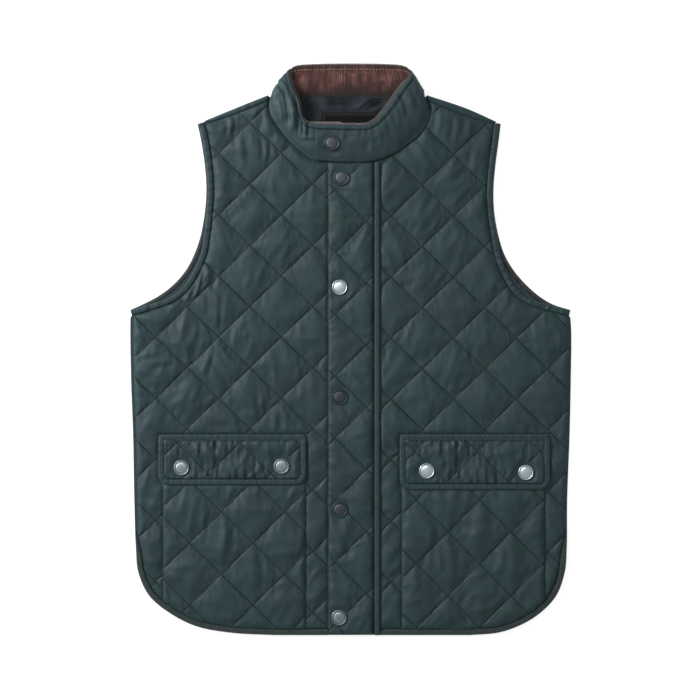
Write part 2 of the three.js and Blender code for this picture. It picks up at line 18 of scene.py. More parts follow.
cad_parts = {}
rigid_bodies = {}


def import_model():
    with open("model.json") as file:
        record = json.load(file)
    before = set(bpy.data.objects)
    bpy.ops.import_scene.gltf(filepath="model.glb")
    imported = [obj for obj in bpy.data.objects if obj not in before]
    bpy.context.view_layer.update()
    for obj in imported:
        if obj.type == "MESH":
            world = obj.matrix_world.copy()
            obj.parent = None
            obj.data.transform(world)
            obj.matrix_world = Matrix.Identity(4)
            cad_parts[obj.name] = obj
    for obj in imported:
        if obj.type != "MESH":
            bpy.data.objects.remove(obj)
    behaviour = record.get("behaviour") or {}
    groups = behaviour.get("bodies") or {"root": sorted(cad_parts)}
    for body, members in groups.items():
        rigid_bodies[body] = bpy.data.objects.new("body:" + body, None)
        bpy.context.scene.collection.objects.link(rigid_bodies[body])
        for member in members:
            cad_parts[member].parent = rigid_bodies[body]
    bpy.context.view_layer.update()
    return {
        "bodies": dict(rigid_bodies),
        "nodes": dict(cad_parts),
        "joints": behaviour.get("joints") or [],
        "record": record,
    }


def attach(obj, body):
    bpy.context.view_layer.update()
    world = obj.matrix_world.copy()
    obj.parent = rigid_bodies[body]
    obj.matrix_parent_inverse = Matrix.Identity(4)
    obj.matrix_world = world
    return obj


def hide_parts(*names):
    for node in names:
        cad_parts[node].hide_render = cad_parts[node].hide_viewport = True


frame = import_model()

log = logging.getLogger("vest")
Array = np.ndarray

MM = 0.001
HALF_LENGTH = 357.2
TURN = 2 * np.pi
CURVE_CUTS = 24

# The photograph's scale: where its middle line and the hem are, and how many millimetres a pixel is
PICTURE_MIDDLE = 350.75
PICTURE_HEM = 635.5
PICTURE_SCALE = 1.25


class Side(Enum):
    """One half of the vest, as the viewer sees it."""

    LEFT = -1
    RIGHT = 1

    @property
    def hand(self) -> str:
        """The half's name in the names of pieces."""
        return self.name.lower()


class Layer(Enum):
    """Which layer of the vest an armhole edge belongs to."""

    BACK = "back"
    FRONT = "front"


@dataclass(frozen=True)
class Levels:
    """Heights of the stacked cloth, in millimetres."""

    gap: float = 0.3
    back: float = 2.6
    stitched: float = 1.4
    pressed: float = 1.6
    front: float = 2.9
    on_front: float = 4.8
    on_pocket: float = 6.7
    front_puff: float = 2.1
    trim_puff: float = 1.7
    binding_width: float = 7.5
    binding_rise: float = 3.6
    neck_x: float = 0.0
    neck_y: float = 676.0
    lift_near: float = 95.0
    lift_far: float = 190.0
    lift: float = 5.5
    off_floor: float = 0.1

    def lifted(self, x: Array, y: Array) -> Array:
        """How far the cloth rises near the neck: one smooth step down from the neck outward.

        Args:
            x: Places across.
            y: Places up from the hem.

        Returns:
            The rise at each place.
        """
        distance = np.hypot(x - self.neck_x, y - self.neck_y)
        return self.lift * (1 - eased((distance - self.lift_near) / (self.lift_far - self.lift_near)))


@dataclass(frozen=True)
class Cut:
    """The outline of the vest: distances from its middle line, and seam lines."""

    # y, then the half-widths of back left, back right, front left and front right
    armhole: tuple = (
        (407.5, 275.5, 274, 274, 273), (414.5, 260, 252.5, 251, 245), (424.5, 241, 236, 224, 219),
        (439, 222, 219.5, 207.5, 204.5), (457, 206.5, 204, 196.5, 195), (477, 196, 192.5, 188, 187.5),
        (499, 188.5, 185.5, 184, 183.5), (529, 183, 180, 180.5, 179), (559, 181, 179, 179, 178),
        (589, 183, 181.5, 181, 180.5), (619, 187.5, 185.5, 185.5, 184.5), (640, 192, 188, 190.5, 187),
    )
    # y, then the half-widths at the left and at the right
    side: tuple = (
        (0, 96, 150), (3, 150, 184), (11, 193, 209), (26, 224, 235), (49, 252, 257), (79, 266, 268),
        (110, 269, 270.5), (169, 271, 271), (250, 272.5, 274), (320, 275, 275.5), (382, 276, 276),
        (407.5, 275.5, 274),
    )
    # The shoulder's edge and the seam in front of it: left x, right x and y
    shoulder_edge: tuple = ((-103.5, 95.5, 675.4), (-145, 145, 659), (-192, 188, 640))
    shoulder_seam: tuple = ((-104.5, 98, 667.5), (-147, 141, 651), (-181, 179, 640.5))
    neck_seam: tuple = (
        (-104.5, 667.5), (-102.3, 655), (-88, 631.5), (-64, 605.5), (-45.5, 594.5), (-27, 592.8),
        (0, 592), (29, 593.8), (53.5, 603.5), (86.5, 626), (101, 655), (98, 667.5),
    )
    vent_top: float = 130.0
    # Heights where a side's edge stops below the armhole, and widths where a shoulder's line stops at it
    back_side_top: float = 398.0
    front_side_top: float = 399.0
    back_shoulder_end: float = 180.0
    front_shoulder_end: float = 177.0
    roll_end: float = 183.0
    narrow_from: float = 92.0
    inset_left: float = 4.0
    inset_right: float = 1.2
    # Left x, right x and y of the back's edge at the neck
    back_neck: tuple = (-99.0, 90.0, 671.6)
    placket_left: float = -28.0
    placket_right: float = 29.0
    placket_edge: float = 37.0
    placket_top: float = 591.5
    placket_bottom: float = 0.5
    fronts_meet: float = 1.0
    pocket_left: tuple = (-234.7, -56.2, 240.0)
    pocket_right: tuple = (243.0, 64.0, 240.0)
    flap_left: tuple = (-240.8, -55.0, 188.0, 251.8)
    flap_right: tuple = (61.0, 249.4, 182.0, 252.0)
    flap_corner: float = 11.0


LEVELS = Levels()
CUT = Cut()


def eased(share: Array) -> Array:
    """A smooth step from 0 to 1: three times the square less twice the cube of the clipped share."""
    clipped = np.clip(share, 0, 1)
    return clipped * clipped * (3 - 2 * clipped)


def hashed(first: Array, second: Array, seed: float) -> Array:
    """A fraction that looks random, from two whole numbers: what is left of a big sine."""
    mixed = np.sin(first * 127.1 + second * 311.7 + seed * 74.7) * 43758.5453
    return mixed - np.floor(mixed)


def rumple(x: Array, y: Array, seed: float) -> Array:
    """Smooth noise from -1 to 1: hashed corners of unit squares, blended with eased shares.

    Args:
        x: First coordinate, one unit a wave.
        y: Second coordinate.
        seed: Which pattern.

    Returns:
        The noise at each place.
    """
    left, low = np.floor(x), np.floor(y)
    right_share, up_share = eased(x - left), eased(y - low)
    near = hashed(left, low, seed) * (1 - right_share) + hashed(left + 1, low, seed) * right_share
    far = hashed(left, low + 1, seed) * (1 - right_share) + hashed(left + 1, low + 1, seed) * right_share
    return 2 * (near * (1 - up_share) + far * up_share) - 1


def flowing(rows: Array, at: Array) -> Array:
    """A curve through rows of points: cubic pieces whose slopes weigh the square roots of the steps.

    Args:
        rows: The points, one a row.
        at: Where on the curve, as a row number with a fraction.

    Returns:
        One point for each place.
    """
    first, last = 2 * rows[0] - rows[1], 2 * rows[-1] - rows[-2]
    line = np.vstack([first, rows, last])
    steps = np.sqrt(np.linalg.norm(np.diff(line, axis=0), axis=1))[:, None]
    steps = np.maximum(steps, 1e-6)
    rates = np.diff(line, axis=0) / steps
    across = (line[2:] - line[:-2]) / (steps[:-1] + steps[1:])
    slopes = rates[:-1] - across + rates[1:]
    index = np.clip(np.floor(at).astype(int), 0, len(rows) - 2)
    share = (at - index)[:, None]
    step = steps[1:-1][index]
    start, end = rows[index], rows[index + 1]
    leave, arrive = slopes[index] * step, slopes[index + 1] * step
    square, cube = share**2, share**3
    return (
        start * (2 * cube - 3 * square + 1)
        + leave * (cube - 2 * square + share)
        + end * (3 * square - 2 * cube)
        + arrive * (cube - square)
    )


def travelled(path: Array) -> Array:
    """How far along a path each of its points is."""
    return np.concatenate([[0], np.cumsum(np.linalg.norm(np.diff(path, axis=0), axis=1))])


def evenly(path: Array, spacing: float) -> Array:
    """The same path with points an even distance apart, its two ends kept.

    Args:
        path: The points of the path, one a row.
        spacing: About how far apart the new points are.

    Returns:
        The new points.
    """
    lengths = travelled(path)
    count = max(2, int(round(lengths[-1] / spacing)) + 1)
    wanted = np.linspace(0, lengths[-1], count)
    return np.stack([np.interp(wanted, lengths, column) for column in path.T], axis=1)


def curve_through(rows: Array, spacing: float) -> Array:
    """A smooth path through points, cut into even steps."""
    last = len(rows) - 1
    fine = flowing(rows, np.linspace(0, last, last * CURVE_CUTS + 1))
    return evenly(fine, spacing)


def sideways(path: Array, closed: bool = False) -> Array:
    """The unit vectors to the left of a flat path: its own direction turned by a quarter."""
    if closed:
        ahead = np.roll(path, -1, axis=0) - np.roll(path, 1, axis=0)
    else:
        ahead = np.gradient(path, axis=0)
    ahead = ahead / np.maximum(np.linalg.norm(ahead, axis=1), 1e-9)[:, None]
    return np.stack([-ahead[:, 1], ahead[:, 0]], axis=1)


def moved_left(path: Array, distance: Union[float, Array], closed: bool = False) -> Array:
    """A flat path moved to its left by a distance, which may differ from point to point."""
    return path + sideways(path, closed) * np.reshape(distance, (-1, 1))


def armhole_path(side: Side, layer: Layer, spacing: float = 2.0) -> Array:
    """The armhole's edge from the underarm up to the shoulder."""
    table = np.array(CUT.armhole)
    column = (1 if layer is Layer.BACK else 3) + (0 if side is Side.LEFT else 1)
    return curve_through(np.stack([side.value * table[:, column], table[:, 0]], axis=1), spacing)


def side_path(side: Side, spacing: float = 2.0) -> Array:
    """The side's edge from the hem's rounded corner up to the underarm."""
    table = np.array(CUT.side)
    column = 1 if side is Side.LEFT else 2
    return curve_through(np.stack([side.value * table[:, column], table[:, 0]], axis=1), spacing)


def shoulder_path(side: Side, rows: tuple, spacing: float = 2.0) -> Array:
    """A line along the shoulder from the neck out."""
    table = np.array(rows)
    column = 0 if side is Side.LEFT else 1
    return curve_through(table[:, [column, 2]], spacing)


def hem_path(side: Side, start: float, spacing: float = 2.0, beyond: float = 0.0) -> Array:
    """The hem from a place near the middle, round the corner and up to the top of the vent or beyond it."""
    corner = side_path(side, spacing)
    corner = corner[corner[:, 1] < CUT.vent_top + beyond]
    level = np.array([[start, 0.0], [corner[0, 0], 0.0]])
    return np.vstack([evenly(level, spacing)[:-1], corner])


def past_underarm(path: Array, extra: float) -> Array:
    """An armhole's path, carried on straight past the underarm by an extra length."""
    starts_there = abs(path[0, 0]) > abs(path[-1, 0])
    outer, before = (path[0], path[1]) if starts_there else (path[-1], path[-2])
    end = outer + (outer - before) / np.linalg.norm(outer - before) * extra
    return np.vstack([end, path] if starts_there else [path, end])


def narrowing(y: Array, start: float) -> Array:
    """The share of its width that a tape keeps at each height: whole below the start, a quarter past it."""
    return 1 - 0.75 * eased((y - start) / 40.0)


def cloth_on_left(path: Array, side: Side) -> Array:
    """The path in the direction that has the cloth on its left."""
    return path if side is Side.RIGHT else path[::-1]


def rounded_rectangle(
    left: float, right: float, low: float, high: float, radius: float, top_radius: float | None = None
) -> Array:
    """A rectangle's outline with quarter circles for corners, counter-clockwise.

    Args:
        left: Its left side.
        right: Its right side.
        low: Its bottom.
        high: Its top.
        radius: The bottom corners' radius.
        top_radius: The top corners' radius, if it is another.

    Returns:
        The outline's points, one a row.
    """
    top = radius if top_radius is None else top_radius
    corners = (
        (right - radius, low + radius, -0.25, radius), (right - top, high - top, 0.0, top),
        (left + top, high - top, 0.25, top), (left + radius, low + radius, 0.5, radius),
    )
    rows = []
    for x, y, start, size in corners:
        turns = (start + np.linspace(0, 0.25, 9)) * TURN
        rows.append(np.stack([x + size * np.cos(turns), y + size * np.sin(turns)], axis=1))
    ring = np.vstack(rows)
    return evenly(np.vstack([ring, ring[:1]]), 2.0)[:-1]


def ring_area(ring: Array) -> float:
    """The area inside a ring, negative if it runs clockwise: half the sum of its cross products."""
    following = np.roll(ring, -1, axis=0)
    return float(np.sum(ring[:, 0] * following[:, 1] - following[:, 0] * ring[:, 1]) / 2)


def joined(sections: list[Array], spacing: float = 2.0) -> Array:
    """Sections of an outline as one ring: each cut evenly, and points that coincide left out.

    Args:
        sections: The sections, in order round the outline.
        spacing: The distance between points.

    Returns:
        The ring, counter-clockwise, without its first point repeated.
    """
    ring = np.vstack([evenly(section, spacing) for section in sections])
    apart = np.linalg.norm(ring - np.roll(ring, 1, axis=0), axis=1)
    ring = ring[apart > 0.35 * spacing]
    return ring if ring_area(ring) > 0 else ring[::-1]


def to_edge(points: Array, path: Array, closed: bool) -> tuple[Array, Array, Array]:
    """How far points are from a path, how far along it they are, and whether they are inside it.

    The distance is that to the nearest of the path's straight pieces. Inside is told by how often a
    line to the right crosses the path.

    Args:
        points: The points, one a row.
        path: The path, one point a row.
        closed: Whether its end joins its start.

    Returns:
        The distances, the lengths along the path, and True for the points inside.
    """
    ends = np.roll(path, -1, axis=0) if closed else path[1:]
    starts = path if closed else path[:-1]
    nearest = np.full(len(points), np.inf)
    along = np.zeros(len(points))
    inside = np.zeros(len(points), dtype=bool)
    x, y = points[:, 0], points[:, 1]
    travelled = 0.0
    for (x1, y1), (x2, y2) in zip(starts, ends):
        length = max(np.hypot(x2 - x1, y2 - y1), 1e-9)
        share = np.clip(((x - x1) * (x2 - x1) + (y - y1) * (y2 - y1)) / length**2, 0, 1)
        distance = np.hypot(x - x1 - share * (x2 - x1), y - y1 - share * (y2 - y1))
        closer = distance < nearest
        nearest = np.where(closer, distance, nearest)
        along = np.where(closer, travelled + share * length, along)
        if y1 != y2:
            crossing = ((y1 > y) != (y2 > y)) & (x < x1 + (y - y1) * (x2 - x1) / (y2 - y1))
            inside ^= crossing
        travelled += length
    return nearest, along, inside


def netted(ring: Array, grid: Array) -> tuple[Array, Array]:
    """A net of triangles through the points of a ring and the points inside it.

    A triangle between three points of the ring is kept only where its middle is inside the ring.

    Args:
        ring: The outline, counter-clockwise.
        grid: The points inside.

    Returns:
        All points, those of the ring first, and the triangles.
    """
    points = np.vstack([ring, grid])
    net = delaunay_2d_cdt(points.tolist(), [], [list(range(len(ring)))], 1, 1e-5, False)
    triangles = np.array(net[2])
    doubtful = np.where((triangles < len(ring)).all(axis=1))[0]
    _, _, inside = to_edge(points[triangles[doubtful]].mean(axis=1), ring, True)
    return points, np.delete(triangles, doubtful[~inside], axis=0)


def in_metres(points: Array) -> Array:
    """The vest's millimetres as places in the row frame, in metres."""
    return (points - np.array([0.0, HALF_LENGTH, 0.0])) * MM


def from_picture(x: float, y: float) -> tuple[float, float]:
    """A place in the photograph, in pixels, as a place on the vest."""
    return (x - PICTURE_MIDDLE) * PICTURE_SCALE, (PICTURE_HEM - y) * PICTURE_SCALE


def new_piece(
    name: str,
    points: Array,
    faces: list,
    material: bpy.types.Material,
    notes: dict[str, Array] | None = None,
    crease_angle: float = 180.0,
) -> bpy.types.Object:
    """Makes an object from points in the vest's millimetres, smooth but for its sharp edges.

    Args:
        name: The piece's name.
        points: Its points, one a row.
        faces: The point numbers of each face.
        material: Its finish.
        notes: Numbers that the material reads, one for each point, by name.
        crease_angle: Edges that turn by more degrees than this stay sharp.

    Returns:
        The object.
    """
    mesh = bpy.data.meshes.new(name)
    mesh.from_pydata(in_metres(points).tolist(), [], faces)
    mesh.update()
    for label, numbers in (notes or {}).items():
        layer = mesh.attributes.new(label, "FLOAT", "POINT")
        layer.data.foreach_set("value", np.ascontiguousarray(numbers, dtype=np.float32))
    mesh.polygons.foreach_set("use_smooth", np.ones(len(mesh.polygons), dtype=bool))
    if crease_angle < 180:
        mesh.set_sharp_from_angle(angle=np.radians(crease_angle))
    mesh.materials.append(material)
    piece = bpy.data.objects.new(name, mesh)
    bpy.context.scene.collection.objects.link(piece)
    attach(piece, "root")
    return piece


def tube(rings: Array, closed: bool = False) -> list:
    """The faces of a tube: quads between rings of points, and one flat face at each open end.

    Args:
        rings: The points, as rings by points round by 3.
        closed: Whether the last ring joins the first.

    Returns:
        The faces.
    """
    count, around = rings.shape[:2]
    rows = np.arange(count if closed else count - 1)
    here, near = np.meshgrid(rows, np.arange(around), indexing="ij")
    ahead, beside = (here + 1) % count, (near + 1) % around
    corners = [here * around + near, here * around + beside, ahead * around + beside, ahead * around + near]
    faces = np.stack(corners, axis=-1).reshape(-1, 4).tolist()
    if not closed:
        faces.append(np.arange(around)[::-1].tolist())
        faces.append((np.arange(around) + (count - 1) * around).tolist())
    return faces


def outward(points: Array, faces: list) -> list:
    """The faces of a closed shape turned to point out: all of them reversed if its volume is negative."""
    fans = [(face[0], face[i], face[i + 1]) for face in faces for i in range(1, len(face) - 1)]
    corners = points[np.array(fans)] - points.mean(axis=0)
    volume = np.einsum("ij,ij->i", corners[:, 0], np.cross(corners[:, 1], corners[:, 2])).sum()
    return faces if volume > 0 else [face[::-1] for face in faces]


def skinned(rings: Array, closed: bool = False) -> tuple[Array, list]:
    """A tube's points, one a row, and its faces turned to point out."""
    points = rings.reshape(-1, 3)
    return points, outward(points, tube(rings, closed))


class Socket:
    """A node's output, so that shader maths is written as Python expressions."""

    def __init__(self, wiring: "Wiring", end: bpy.types.NodeSocket) -> None:
        """Keeps the output and the wiring that it belongs to."""
        self.wiring = wiring
        self.end = end

    def _maths(self, operation: str, first: "Feed", second: "Feed" = 0.0) -> "Socket":
        """One Math node on two values."""
        return self.wiring.node("ShaderNodeMath", {"operation": operation}, {0: first, 1: second})

    def __add__(self, other: "Feed") -> "Socket":
        """Sum."""
        return self._maths("ADD", self, other)

    __radd__ = __add__

    def __sub__(self, other: "Feed") -> "Socket":
        """Difference."""
        return self._maths("SUBTRACT", self, other)

    def __rsub__(self, other: "Feed") -> "Socket":
        """Difference from a number."""
        return self._maths("SUBTRACT", other, self)

    def __mul__(self, other: "Feed") -> "Socket":
        """Product."""
        return self._maths("MULTIPLY", self, other)

    __rmul__ = __mul__

    def __truediv__(self, other: "Feed") -> "Socket":
        """Quotient."""
        return self._maths("DIVIDE", self, other)

    def __pow__(self, other: "Feed") -> "Socket":
        """Power."""
        return self._maths("POWER", self, other)

    def wave(self) -> "Socket":
        """Its sine."""
        return self._maths("SINE", self)


Feed = Union[Socket, float, tuple]


class Wiring:
    """Makes one material's nodes."""

    def __init__(self, name: str) -> None:
        """Starts a material with a Principled shader on its output."""
        self.material = bpy.data.materials.new(name)
        self.material.use_nodes = True
        self.tree = self.material.node_tree
        self.tree.nodes.clear()
        self.surface = self.tree.nodes.new("ShaderNodeBsdfPrincipled")
        output = self.tree.nodes.new("ShaderNodeOutputMaterial")
        self.tree.links.new(self.surface.outputs[0], output.inputs["Surface"])

    def node(
        self, kind: str, settings: dict | None = None, feeds: dict | None = None, output: int | str = 0
    ) -> Socket:
        """Makes a node: its settings first, and then the values or links of its inputs.

        Args:
            kind: The node's type.
            settings: Its own settings.
            feeds: Values or sockets by input name or number.
            output: Which output is wanted.

        Returns:
            The output.
        """
        made = self.tree.nodes.new(kind)
        for label, value in (settings or {}).items():
            setattr(made, label, value)
        for label, value in (feeds or {}).items():
            self._feed(made.inputs[label], value)
        return Socket(self, made.outputs[output])

    def _feed(self, end: bpy.types.NodeSocket, value: Feed) -> None:
        """Links a socket to an input, or sets the input's own value."""
        if isinstance(value, Socket):
            self.tree.links.new(value.end, end)
        elif isinstance(value, tuple) and len(value) == 3 and end.type == "RGBA":
            end.default_value = (*value, 1.0)
        else:
            end.default_value = value

    def shine(self, **feeds: Feed) -> None:
        """Sets inputs of the Principled shader, their names written with underscores."""
        for label, value in feeds.items():
            self._feed(self.surface.inputs[label.replace("_", " ")], value)

    def place(self) -> Socket:
        """Places on the piece, in metres of the row frame."""
        return self.node("ShaderNodeTexCoord", output="Object")

    def parts(self, vector: Socket) -> tuple[Socket, Socket, Socket]:
        """The three coordinates of a vector."""
        made = self.tree.nodes.new("ShaderNodeSeparateXYZ")
        self.tree.links.new(vector.end, made.inputs[0])
        return tuple(Socket(self, end) for end in made.outputs)

    def note(self, name: str) -> Socket:
        """A number that the mesh carries."""
        return self.node("ShaderNodeAttribute", {"attribute_name": name}, output="Fac")

    def noise(self, vector: Socket, scale: float, detail: float = 2.0, roughness: float = 0.5) -> Socket:
        """Cloudy noise from 0 to 1 with so many waves a metre."""
        feeds = {"Vector": vector, "Scale": scale, "Detail": detail, "Roughness": roughness}
        return self.node("ShaderNodeTexNoise", {}, feeds)

    def spread(self, value: Socket, low: float, high: float) -> Socket:
        """A value between two limits as a share from 0 to 1."""
        return self.node("ShaderNodeMapRange", {}, {"Value": value, "From Min": low, "From Max": high})

    def blend(self, share: Feed, first: Feed, second: Feed) -> Socket:
        """A colour between two colours."""
        return self.node("ShaderNodeMix", {"data_type": "RGBA"}, {0: share, 6: first, 7: second}, 2)

    def darker(self, colour: Feed, share: Feed) -> Socket:
        """A colour times a grey of that share."""
        grey = self.node("ShaderNodeCombineColor", {}, {0: share, 1: share, 2: share})
        settings = {"data_type": "RGBA", "blend_type": "MULTIPLY"}
        return self.node("ShaderNodeMix", settings, {0: 1.0, 6: colour, 7: grey}, 2)

    def relief(self, height: Socket, depth: float, strength: float = 1.0) -> Socket:
        """A bumped normal from heights of 0 to 1 and the depth in metres that 1 stands for."""
        return self.node("ShaderNodeBump", {}, {"Height": height, "Distance": depth, "Strength": strength})


def linear(red: int, green: int, blue: int) -> tuple[float, float, float]:
    """A screen colour of 0 to 255 as the shader's own numbers."""
    shares = np.array([red, green, blue]) / 255
    return tuple(np.where(shares <= 0.04045, shares / 12.92, ((shares + 0.055) / 1.055) ** 2.4).tolist())


@dataclass(frozen=True)
class Nylon:
    """The shell: a fine plain weave with a soft sheen, whose diamonds differ a little in tone."""

    name: str = "nylon_shell"
    blue: tuple = linear(39, 58, 67)
    green: tuple = linear(37, 60, 59)
    pale: tuple = linear(50, 76, 81)
    roughness: float = 0.56
    thread_pitch: float = 0.00042
    weave_depth: float = 0.00002
    rib_depth: float = 0.00012

    def material(self) -> bpy.types.Material:
        """Weave as the product of two sines, cloudy tone, and cloth darker down in the stitched lines and
        along the outlines: pressed cloth there, and painted shade.
        """
        wiring = Wiring(self.name)
        place = wiring.place()
        across, along, _ = wiring.parts(place)
        clouds = wiring.noise(place, 14.0, 3.0)
        patches = wiring.spread(wiring.noise(place, 38.0, 2.0, 0.4), 0.4, 0.62)
        grain = wiring.noise(place, 420.0, 2.0)
        tint = wiring.note("tint")
        seam = wiring.note("seam")
        body = wiring.blend(tint * 0.35 + clouds * 0.25 + patches * 0.4, self.blue, self.green)
        body = wiring.blend(wiring.spread(clouds, 0.35, 0.85) * 0.35, body, self.pale)
        # Painted shade: the seam note darkens the cloth in the stitched grooves and along the outlines, where
        # shade falls between the layers.
        depth = (1.0 - seam) ** 2.4
        body = wiring.darker(body, (1.0 - depth * 0.93) * (0.93 + grain * 0.14))
        weave = (across * (TURN / self.thread_pitch)).wave() * (along * (TURN / self.thread_pitch)).wave()
        creases = wiring.noise(place, 95.0, 4.0, 0.6)
        fine = wiring.relief(weave * 0.5 + 0.5, self.weave_depth)
        bump = {"Height": creases, "Distance": self.rib_depth * 4, "Strength": 0.35, "Normal": fine}
        uneven = wiring.node("ShaderNodeBump", {}, bump)
        wiring.shine(
            Base_Color=body,
            Roughness=self.roughness - 0.08 + clouds * 0.16,
            Normal=uneven,
            Sheen_Weight=0.06,
            Sheen_Roughness=0.45,
            Specular_IOR_Level=0.33,
        )
        return wiring.material


@dataclass(frozen=True)
class Tape:
    """The bindings: a ribbed woven tape, greyer than the shell."""

    name: str = "binding_tape"
    colour: tuple = linear(31, 46, 48)
    # The pale colour of the rib tops: wear, and a painted highlight
    worn: tuple = linear(68, 83, 83)
    rib_pitch: float = 1.3
    slant: float = 0.9
    rib_depth: float = 0.00028
    contrast: float = 0.45
    sheen: float = 0.15
    # How dark the painted shade between the ribs is, and how dark the painted shadow on the tape's inner side
    # is
    shade: float = 0.28
    hollow: float = 0.0

    def material(self) -> bpy.types.Material:
        """Ribs as a sine along the tape, leaning across it, paler on their tops by wear and a painted
        highlight, with painted shade between the ribs, towards the tape's edges and on its inner side.
        """
        wiring = Wiring(self.name)
        place = wiring.place()
        lean = wiring.note("along") + wiring.note("across") * self.slant
        rib = (lean * (TURN / self.rib_pitch)).wave() * 0.5 + 0.5
        clouds = wiring.noise(place, 60.0, 3.0)
        # Painted highlight on the rib tops, with wear in soft clouds
        rubbed = rib * self.contrast + wiring.spread(clouds, 0.4, 0.8) * 0.25
        body = wiring.blend(rubbed, self.colour, self.worn)
        # Painted shade: darker between the ribs, and from the crown towards the low edges, read from the seam
        # note
        crown = (wiring.note("seam") - 0.55) / 0.45
        body = wiring.darker(body, (1.0 - self.shade + rib * self.shade) * (0.68 + crown * crown * 0.36))
        # Painted shadow that the front's tape casts over the inner side of the back's tape
        body = wiring.darker(body, 1.0 - wiring.spread(wiring.note("across"), 2.6, 4.6) * self.hollow)
        wiring.shine(
            Base_Color=body,
            Roughness=0.72,
            Normal=wiring.relief(rib + clouds * 0.6, self.rib_depth),
            Sheen_Weight=self.sheen,
            Sheen_Roughness=0.5,
        )
        return wiring.material


@dataclass(frozen=True)
class Corduroy:
    """The collar's facing: brown corduroy, its wales paler on top, worn and with a painted highlight, and
    painted shade between them.
    """

    name: str = "brown_corduroy"
    # The deep colour lies between the wales and in the painted shade; the pale colour on the wale tops is
    # wear and a painted highlight
    deep: tuple = linear(27, 13, 13)
    nap: tuple = linear(94, 45, 42)
    worn: tuple = linear(172, 132, 116)

    def material(self) -> bpy.types.Material:
        """Colour by the wale note, which holds how high a wale stands and painted shade, broken up by a short
        nap.
        """
        wiring = Wiring(self.name)
        place = wiring.place()
        wale = wiring.note("wale")
        nap = wiring.noise(place, 900.0, 3.0, 0.65)
        patches = wiring.noise(place, 60.0, 3.0, 0.6)
        body = wiring.blend(wale * (0.35 + nap * 0.6 + patches * 0.4), self.deep, self.nap)
        body = wiring.blend(wiring.spread(patches, 0.45, 0.8) * wale * 0.6, body, self.worn)
        wiring.shine(
            Base_Color=body,
            Roughness=0.95,
            Normal=wiring.relief(nap, 0.00025, 0.6),
            Sheen_Weight=0.4,
            Sheen_Roughness=0.6,
            Specular_IOR_Level=0.2,
        )
        return wiring.material


@dataclass(frozen=True)
class Lining:
    """The neck's lining: a dark smooth twill."""

    name: str = "neck_lining_twill"
    dark: tuple = linear(24, 29, 34)
    light: tuple = linear(62, 71, 79)
    pitch: float = 0.0006

    def material(self) -> bpy.types.Material:
        """Fine slanting ribs, and soft clouds of tone."""
        wiring = Wiring(self.name)
        place = wiring.place()
        across, along, _ = wiring.parts(place)
        twill = ((across + along) * (TURN / self.pitch)).wave() * 0.5 + 0.5
        clouds = wiring.noise(place, 45.0, 3.0)
        body = wiring.blend(wiring.spread(clouds, 0.35, 0.75) * 0.6 + twill * 0.15, self.dark, self.light)
        wiring.shine(
            Base_Color=body, Roughness=0.7, Normal=wiring.relief(twill, 0.00004), Specular_IOR_Level=0.15
        )
        return wiring.material


@dataclass(frozen=True)
class LabelCloth:
    """The bare label: a near-black satin weave with a plain woven border."""

    name: str = "label_satin"
    ground: tuple = linear(16, 16, 18)
    border: tuple = linear(44, 44, 48)
    pitch: float = 0.0005

    def material(self) -> bpy.types.Material:
        """Fine ribs, with the border where the mesh says so."""
        wiring = Wiring(self.name)
        _, along, _ = wiring.parts(wiring.place())
        rib = (along * (TURN / self.pitch)).wave() * 0.5 + 0.5
        body = wiring.blend(wiring.note("border"), self.ground, self.border)
        wiring.shine(
            Base_Color=wiring.darker(body, 0.8 + rib * 0.2),
            Roughness=0.7,
            Normal=wiring.relief(rib, 0.00003),
            Specular_IOR_Level=0.15,
        )
        return wiring.material


@dataclass(frozen=True)
class ThreadFinish:
    """Sewing thread in one colour, with a twist."""

    name: str
    colour: tuple
    pitch: float = 0.0009

    def material(self) -> bpy.types.Material:
        """Slanting twist ribs on a matt colour."""
        wiring = Wiring(self.name)
        across, along, up = wiring.parts(wiring.place())
        twist = ((across + along * 0.6 + up) * (TURN / self.pitch)).wave() * 0.5 + 0.5
        body = wiring.darker(self.colour, 0.75 + twist * 0.25)
        wiring.shine(
            Base_Color=body, Roughness=0.7, Normal=wiring.relief(twist, 0.0001), Specular_IOR_Level=0.25
        )
        return wiring.material


@dataclass(frozen=True)
class AntiqueSilver:
    """The snaps: dark plated metal, rubbed bright where it stands up."""

    name: str = "antique_silver"
    dark: tuple = linear(40, 47, 51)
    bright: tuple = linear(226, 242, 252)

    def material(self) -> bpy.types.Material:
        """Plating that is bright where the mesh's note says so: rubbed where it stands up, and brighter on
        some caps by a painted reflection, with a cloudy tarnish.
        """
        wiring = Wiring(self.name)
        place = wiring.place()
        tarnish = wiring.noise(place, 380.0, 4.0, 0.6)
        rubbed = wiring.note("rubbed") * (0.75 + tarnish * 0.5)
        wiring.shine(
            Base_Color=wiring.blend(rubbed, self.dark, self.bright),
            Metallic=1.0,
            Roughness=0.46 - rubbed * 0.16 + tarnish * 0.08,
            Normal=wiring.relief(tarnish, 0.00005, 0.5),
        )
        return wiring.material


@dataclass(frozen=True)
class Paper:
    """The floor: plain white background paper."""

    name: str = "background_paper"
    colour: tuple = (0.5, 0.5, 0.5)

    def material(self) -> bpy.types.Material:
        """White with the faintest grain."""
        wiring = Wiring(self.name)
        grain = wiring.noise(wiring.place(), 300.0, 2.0)
        wiring.shine(
            Base_Color=self.colour,
            Roughness=0.9,
            Normal=wiring.relief(grain, 0.00005, 0.3),
            Specular_IOR_Level=0.1,
            Emission_Color=(1.0, 1.0, 1.0),
            Emission_Strength=0.78,
        )
        return wiring.material


